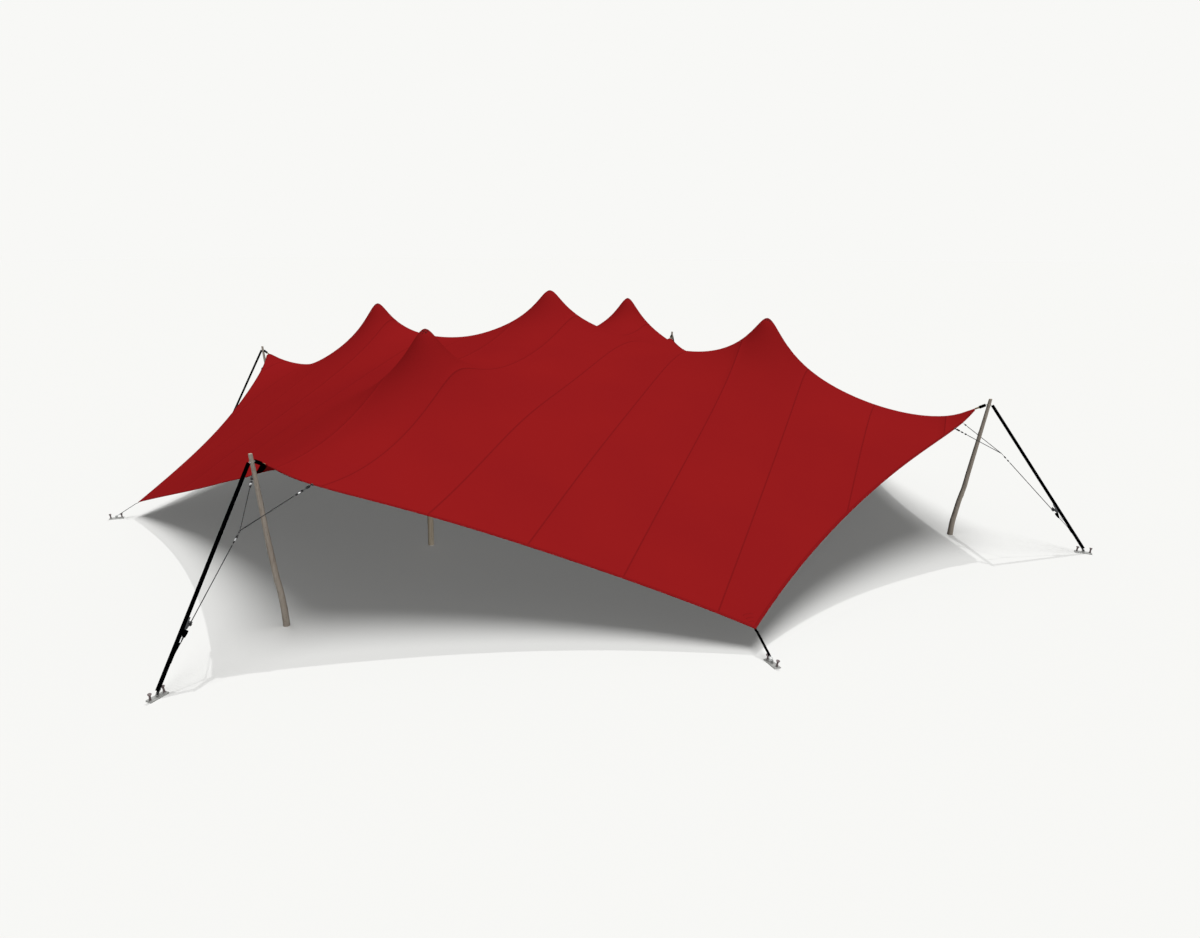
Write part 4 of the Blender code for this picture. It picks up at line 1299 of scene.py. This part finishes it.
def build_ratchet(side, turns, materials):
    """The lashing ratchet: plates, folded handle, toothed wheels, its webbing and its hook."""
    _, _, pin, up_strap = stay_places(side, turns)
    top = Vector((0, -RATCHET_TOP[0], RATCHET_TOP[1]))
    end = Vector((0, -RATCHET_END[0], RATCHET_END[1]))
    down = (end - top).normalized()
    out = down.cross(ACROSS).normalized()

    def at(lower, outer, aside=0.0):
        """A place of the ratchet: down from its upper end, out towards the strap, and aside."""
        return top + down * lower + out * outer + ACROSS * aside

    steel, black, strap, hook = Shape(), Shape(), Shape(), Shape()
    first, last, deep = RATCHET_PLATE
    grip_first, grip_last, grip_deep = RATCHET_HANDLE
    grip_out = (at(*grip_last) - at(*grip_first)).cross(ACROSS).normalized()
    for aside in (-RATCHET_HALF, RATCHET_HALF):
        add_bar(steel, at(*first, aside), at(*last, aside), out, deep, PLATE_STEEL)
        add_bar(steel, at(*grip_first, aside), at(*grip_last, aside), grip_out, grip_deep, PLATE_STEEL)
        teeth = []
        for k in range(2 * WHEEL_TEETH):
            turn = math.pi * k / WHEEL_TEETH
            teeth.append((down * math.cos(turn) + out * math.sin(turn)) * WHEEL_RADII[k % 2])
        wheel = at(*WHEEL_PLACE, aside * WHEEL_ASIDE)
        black.rings([[wheel + ACROSS * x + tooth for tooth in teeth] for x in (-WHEEL_HALF, WHEEL_HALF)])
    grip_back = grip_out * HANDLE_BACK
    add_bar(steel, at(*grip_first) + grip_back, at(*grip_last) + grip_back, ACROSS, 2 * RATCHET_HALF,
            PLATE_STEEL)
    for lower, outer, radius in RATCHET_PINS:
        add_pin(steel, at(lower, outer), ACROSS, RATCHET_HALF + PLATE_STEEL, radius)
    add_pin(black, at(*WHEEL_PLACE), ACROSS, *SPOOL)
    block = []
    for lower, outer, half, deep in RATCHET_BLOCK:
        sides = ((-half, -deep), (half, -deep), (half, deep), (-half, deep))
        block.append([at(lower, outer + y, x) for x, y in sides])
    strap.rings(block)

    inward = up_strap.cross(ACROSS).normalized()
    seat = pin + up_strap * (MERGE_LEVEL - pin.z) / up_strap.z
    seat += inward * (STAY_SECTION[1] / 2 - STRAP_OUT + PLATE_STEEL)
    lower, outer, _, deep = RATCHET_BLOCK[-1]
    path = straight(at(lower - deep, outer), seat, count=8) + [seat - up_strap * LASHING_BELOW]
    add_webbing(strap, path, ACROSS, *LASHING)
    first, last, wide, wire = HOOK
    add_link(hook, at(*first), at(*last), ACROSS, wide, wire)
    steel.piece(f"{side}_ratchet_frame", "bridle", [materials["ratchet"]], turns=turns)
    hook.piece(f"{side}_ratchet_hook", "bridle", [materials["zinc"]], turns=turns)
    black.piece(f"{side}_ratchet_spool", "bridle", [materials["black_steel"]], turns=turns)
    strap.piece(f"{side}_ratchet_webbing", "webbing", [materials["webbing"]], turns=turns)


# Ground plates and corner ties

# A plate's length, width and thickness, its lug's outline as (half width, level), and its weld as
# half its length and width, the bead's radius and how far above the plate the bead's middle is
PLATE = (0.30, 0.11, 0.018)
PLATE_CHAMFER = 0.22
LUG_OUTLINE = ((0.028, 0.006), (0.0252, 0.056), (0.022, 0.064), (0.016, 0.070), (0.008, 0.073))
LUG_HALF = 0.0058
WELD = (0.029, 0.0075, 0.003, 0.001)
# A stake's distance from the plate's middle, how far its top leans each way, and the level inside
# the plate where it starts
STAKE_OFFSET = 0.114
STAKE_LEAN = 0.0125
STAKE_BEDDING = 0.005
# A hammered head: height from the stake's top in metres, and share of the head's radius. Then the
# raised edge of a stake's hole: height above the plate, radius
HEAD_PROFILE = ((-0.040, 0.50), (-0.028, 0.57), (-0.018, 0.72), (-0.010, 0.88), (-0.004, 1.0),
                (0.001, 1.02), (0.004, 0.92), (0.006, 0.66), (0.007, 0.3))
HOLE_RIM = ((-0.002, 0.0245), (0.0015, 0.0245), (0.003, 0.023))


def build_plate(name, outward, inner_height, looks, materials):
    """A chamfered ground plate with its lug and two driven stakes with hammered heads."""
    place = middle(name)
    base = Vector((place.x, place.y, 0))
    side = UP.cross(outward)
    long, wide, thick = PLATE
    plate = Shape()
    add_bar(plate, *places_along(base + UP * thick / 2, outward, -long / 2, long / 2), side, wide, thick,
            chamfer=PLATE_CHAMFER)
    outline = [base + outward * half + UP * level for half, level in LUG_OUTLINE]
    outline += [base - outward * half + UP * level for half, level in reversed(LUG_OUTLINE)]
    plate.rings([[p + side * x for p in outline] for x in (-LUG_HALF, LUG_HALF)])
    a, b, bead, above = WELD
    toe = base + UP * (thick + above)
    corners = [toe + outward * x + side * y for x, y in ((-a, -b), (a, -b), (a, b), (-a, b))]
    add_tube(plate, corners, bead, sides=8, closed=True)
    stakes = Shape()
    for hand, height in ((-1, inner_height), (1, looks.stake_height)):
        hole = base + outward * hand * STAKE_OFFSET + UP * thick
        add_turned(plate, hole, UP, HOLE_RIM, sides=20)
        foot = base + outward * hand * STAKE_OFFSET + UP * STAKE_BEDDING
        shank = UP * height + (outward + side * hand) * STAKE_LEAN
        profile = [(0.0, looks.stake_radius)]
        profile += [(shank.length + d, looks.head_radius * share) for d, share in HEAD_PROFILE]
        add_turned(stakes, foot, shank, profile, sides=20)
    plate.piece(f"{name}_plate", "anchor", [materials["plate"]], [name])
    stakes.piece(f"{name}_stakes", "anchor", [materials["stake"]])


# A corner's grip is measured from a point this far inside the sheet's corner, and is this long
CORNER_INSIDE = 0.030
CORNER_GRIP = 0.054
# The tab sewn under the cloth there: its points back from that point, and how far under the face
TAB_BACK = (0.10, 0.075, 0.05, 0.03)
TAB_LIFT = -0.0095
TAB_THICKNESS = 0.0025
TIE_THICKNESS = 0.006
# How far short of the grip's end the tie stops, and how far past it the tab runs to meet it
TIE_LAP = 0.02
# The ring on the plate's pin: where it starts and ends up the tie, width, wire
RING = (0.004, 0.074, 0.050, 0.011)


def build_corner_tie(name, turns, looks, materials):
    """The short webbing from a low corner to its plate, with its sewn tab, ring and pin."""
    outward = Vector((1, -1, 0)).normalized()
    across = Vector((1, 1, 0)).normalized()
    inside = Vector((LOW_REACH, -LOW_REACH, 0)) - outward * CORNER_INSIDE
    point, normal = on_sheet(inside.x, inside.y)
    down_sheet = across.cross(normal).normalized()
    hold = point - normal * SOLID_CLOTH / 2
    end = hold + down_sheet * CORNER_GRIP
    pin = Vector((CORNER_REACH, -CORNER_REACH, PIN_LEVEL))
    up_tie = (end - pin).normalized()
    strap, fittings = Shape(), Shape()
    tie = straight(pin + up_tie * TIE_START, end - up_tie * TIE_LAP, count=8)
    add_webbing(strap, tie, across, looks.tie_width, TIE_THICKNESS)
    tab = []
    for back in TAB_BACK:
        sewn, lift_way = on_sheet(inside.x - outward.x * back, inside.y - outward.y * back)
        tab.append(sewn + lift_way * TAB_LIFT)
    seam_end = end + normal * TAB_LIFT
    add_webbing(strap, tab + [seam_end, seam_end - up_tie * TIE_LAP], across, looks.tie_width,
                TAB_THICKNESS)
    first, last, wide, wire = RING
    add_link(fittings, *places_along(pin, up_tie, first, last), across, wide, wire)
    add_pin(fittings, pin, across, PIN_HALF, PIN_RADIUS)
    strap.piece(f"{name}_webbing", "webbing", [materials["webbing"]], [name], turns=turns)
    fittings.piece(f"{name}_ring", "anchor", [materials["zinc"]], turns=turns)


# Operators, one for each group of pieces


class TentSheetOperator(bpy.types.Operator):
    """Builds the sheet with its seams, hem, corner fans and tip bands."""
    bl_idname = "tent.sheet"
    bl_label = "Sheet"

    def execute(self, context):
        looks = context.scene.tent_sheet
        knit = coated_knit(looks)
        rows = [looks.seam_width / 2 - inwards for inwards in LAP_ROWS]
        lapped = sewn_strip("lapped_and_stitched_knit", looks.seam, looks, rows)
        folded = sewn_strip("folded_and_stitched_knit", looks.seam, looks, (HEM_ROW, looks.hem_width))
        arcs = sewn_strip("arc_stitched_knit", looks.seam, looks, (0.0,))
        sheet = build_sheet(looks, [knit, lapped])
        sewn_on = [build_hem(looks, folded)]
        sewn_on += build_corner_fans(looks, [knit, arcs])
        sewn_on += build_tip_bands(looks, woven_webbing(context.scene.tent_rigging))
        return {"FINISHED"}


class TentPolesOperator(bpy.types.Operator):
    """Builds the inner poles with their pads and the crooked outer poles."""
    bl_idname = "tent.poles"
    bl_label = "Poles"

    def execute(self, context):
        looks = context.scene.tent_poles
        oiled = grained_wood("oiled_gum_pole", looks.oiled, looks.oiled_dark, 0.6, check_width=0.002)
        raw = grained_wood("weathered_gum_pole", looks.weathered, looks.weathered_dark, 0.85,
                           check_width=0.004)
        end = sawn_end(looks)
        pad = padded_cover(looks)
        band = woven_webbing(context.scene.tent_rigging)
        for name in ["centre_pole"] + [f"{side}_inner_pole" for side in SIDES]:
            build_inner_pole(name, looks, [oiled, end, pad, band])
        for turns, side in enumerate(SIDES):
            build_outer_pole(side, turns, looks, [raw, end])
        return {"FINISHED"}


class TentRiggingOperator(bpy.types.Operator):
    """Builds the stays, bridles, ratchets and corner ties."""
    bl_idname = "tent.rigging"
    bl_label = "Rigging"

    def execute(self, context):
        looks = context.scene.tent_rigging
        materials = {
            "webbing": woven_webbing(looks),
            "rope": twisted("laid_hemp_rope", looks.rope, pitch=0.05, strands=3,
                            radius=looks.rope_radius, roughness=0.9),
            "zinc": plated_steel("zinc_plated_steel", looks.zinc, roughness=0.3, metallic=0.7),
            "band": plated_steel("weathered_zinc_band", looks.band, roughness=0.75, metallic=0.1),
            "ratchet": plated_steel("worn_zinc_plated_ratchet", looks.ratchet, roughness=0.5, metallic=0.4),
            "black_steel": painted_steel(looks),
            "wire": twisted("galvanised_wire_rope", looks.wire, pitch=0.04, strands=6,
                            radius=looks.wire_radius, roughness=0.6, metallic=0.2),
        }
        for turns, side in enumerate(SIDES):
            build_stay(side, turns, looks, materials)
            build_bridle(side, turns, looks, materials)
            build_ratchet(side, turns, materials)
        for turns, corner in enumerate(CORNERS):
            build_corner_tie(f"{corner}_tie", turns, looks, materials)
        return {"FINISHED"}


class TentPlatesOperator(bpy.types.Operator):
    """Builds the ground plates with their driven stakes."""
    bl_idname = "tent.plates"
    bl_label = "Ground plates"

    def execute(self, context):
        looks = context.scene.tent_plates
        materials = {"plate": galvanised_steel(looks), "stake": forged_steel(looks)}
        for turns, side in enumerate(SIDES):
            outward = quarter_turn((0, -1, 0), turns)
            build_plate(f"{side}_anchor", outward, looks.stake_height, looks, materials)
        for turns, corner in enumerate(CORNERS):
            outward = quarter_turn(Vector((1, -1, 0)).normalized(), turns)
            build_plate(f"{corner}_anchor", outward, looks.short_height, looks, materials)
        return {"FINISHED"}


def add_lamp(scene, name, strength, width, height, heading, shadow=True):
    """A distant light from a heading and a height above the floor."""
    light = bpy.data.lights.new(name, "SUN")
    light.energy = strength
    light.angle = width
    light.use_shadow = shadow
    lamp = bpy.data.objects.new(name, light)
    towards = Vector((math.cos(height) * math.cos(heading), math.cos(height) * math.sin(heading),
                      math.sin(height)))
    lamp.rotation_euler = towards.to_track_quat("Z", "Y").to_euler()
    scene.collection.objects.link(lamp)


class TentStageOperator(bpy.types.Operator):
    """Makes the plain floor, the soft light and the camera."""
    bl_idname = "tent.stage"
    bl_label = "Stage"

    def execute(self, context):
        looks = context.scene.tent_stage
        mesh = bpy.data.meshes.new("floor")
        span = 400.0
        mesh.from_pydata([(-span, -span, 0), (span, -span, 0), (span, span, 0), (-span, span, 0)],
                         [], [(0, 1, 2, 3)])
        paper, tree, shader = new_finish("matt_painted_studio_floor", roughness=1.0, specular=0.0)
        tone = with_bounce(tree, opaque(looks.floor), FLOOR_BOUNCE)
        tree.links.new(tone, shader.inputs["Base Color"])
        mesh.materials.append(paper)
        floor = bpy.data.objects.new("floor", mesh)
        context.scene.collection.objects.link(floor)

        # The surroundings are bright where they are seen or mirrored, and light the tent weakly
        world = bpy.data.worlds.new("soft_studio")
        world.use_nodes = True
        tree = world.node_tree
        diffuse = add_node(tree, "LightPath", {}, "Is Diffuse Ray")
        share = add_node(tree, "MapRange", {"Value": diffuse, "To Min": 1.0, "To Max": looks.surroundings})
        backdrop = tree.nodes["Background"]
        backdrop.inputs["Color"].default_value = opaque(looks.backdrop)
        tree.links.new(share, backdrop.inputs["Strength"])
        context.scene.world = world
        context.scene.view_settings.view_transform = "Standard"

        upright, narrow = math.pi / 2, math.radians(0.6)
        add_lamp(context.scene, "overhead", looks.overhead, looks.overhead_width, upright, 0.0)
        add_lamp(context.scene, "weak_sun", looks.sun, narrow, looks.sun_height, looks.sun_heading)
        add_lamp(context.scene, "fill", looks.fill, narrow, looks.fill_height, looks.fill_heading, False)

        lens = bpy.data.cameras.new("photograph")
        lens.lens = looks.lens
        lens.sensor_width = 36.0
        lens.shift_x, lens.shift_y = CAMERA_SHIFT
        lens.clip_end = 1000.0
        camera = bpy.data.objects.new("photograph", lens)
        camera.location = CAMERA_PLACE
        camera.rotation_euler = (upright - looks.dip, 0, looks.swing)
        context.scene.collection.objects.link(camera)
        context.scene.camera = camera
        return {"FINISHED"}


class TentPanel(bpy.types.Panel):
    """Lists the tent's groups of pieces and its stage."""
    bl_idname = "VIEW3D_PT_tent"
    bl_label = "Stretch tent"
    bl_space_type = "VIEW_3D"
    bl_region_type = "UI"
    bl_category = "Tent"

    def draw(self, context):
        for operator, group in OPERATORS:
            self.layout.operator(operator.bl_idname)
            looks = getattr(context.scene, group)
            for name in looks.bl_rna.properties.keys():
                if name not in ("rna_type", "name"):
                    self.layout.prop(looks, name)


GROUPS = {
    "tent_sheet": TentSheetLooks,
    "tent_poles": TentPoleLooks,
    "tent_rigging": TentRiggingLooks,
    "tent_plates": TentPlateLooks,
    "tent_stage": TentStageLooks,
}
OPERATORS = (
    (TentSheetOperator, "tent_sheet"),
    (TentPolesOperator, "tent_poles"),
    (TentRiggingOperator, "tent_rigging"),
    (TentPlatesOperator, "tent_plates"),
    (TentStageOperator, "tent_stage"),
)


def register():
    for name, group in GROUPS.items():
        bpy.utils.register_class(group)
        setattr(bpy.types.Scene, name, bpy.props.PointerProperty(type=group))
    for operator, _ in OPERATORS:
        bpy.utils.register_class(operator)
    bpy.utils.register_class(TentPanel)


def unregister():
    bpy.utils.unregister_class(TentPanel)
    for operator, _ in reversed(OPERATORS):
        bpy.utils.unregister_class(operator)
    for name, group in GROUPS.items():
        delattr(bpy.types.Scene, name)
        bpy.utils.unregister_class(group)


def main():
    register()
    bpy.ops.tent.sheet()
    bpy.ops.tent.poles()
    bpy.ops.tent.rigging()
    bpy.ops.tent.plates()
    bpy.ops.tent.stage()


if __name__ == "__main__":
    main()
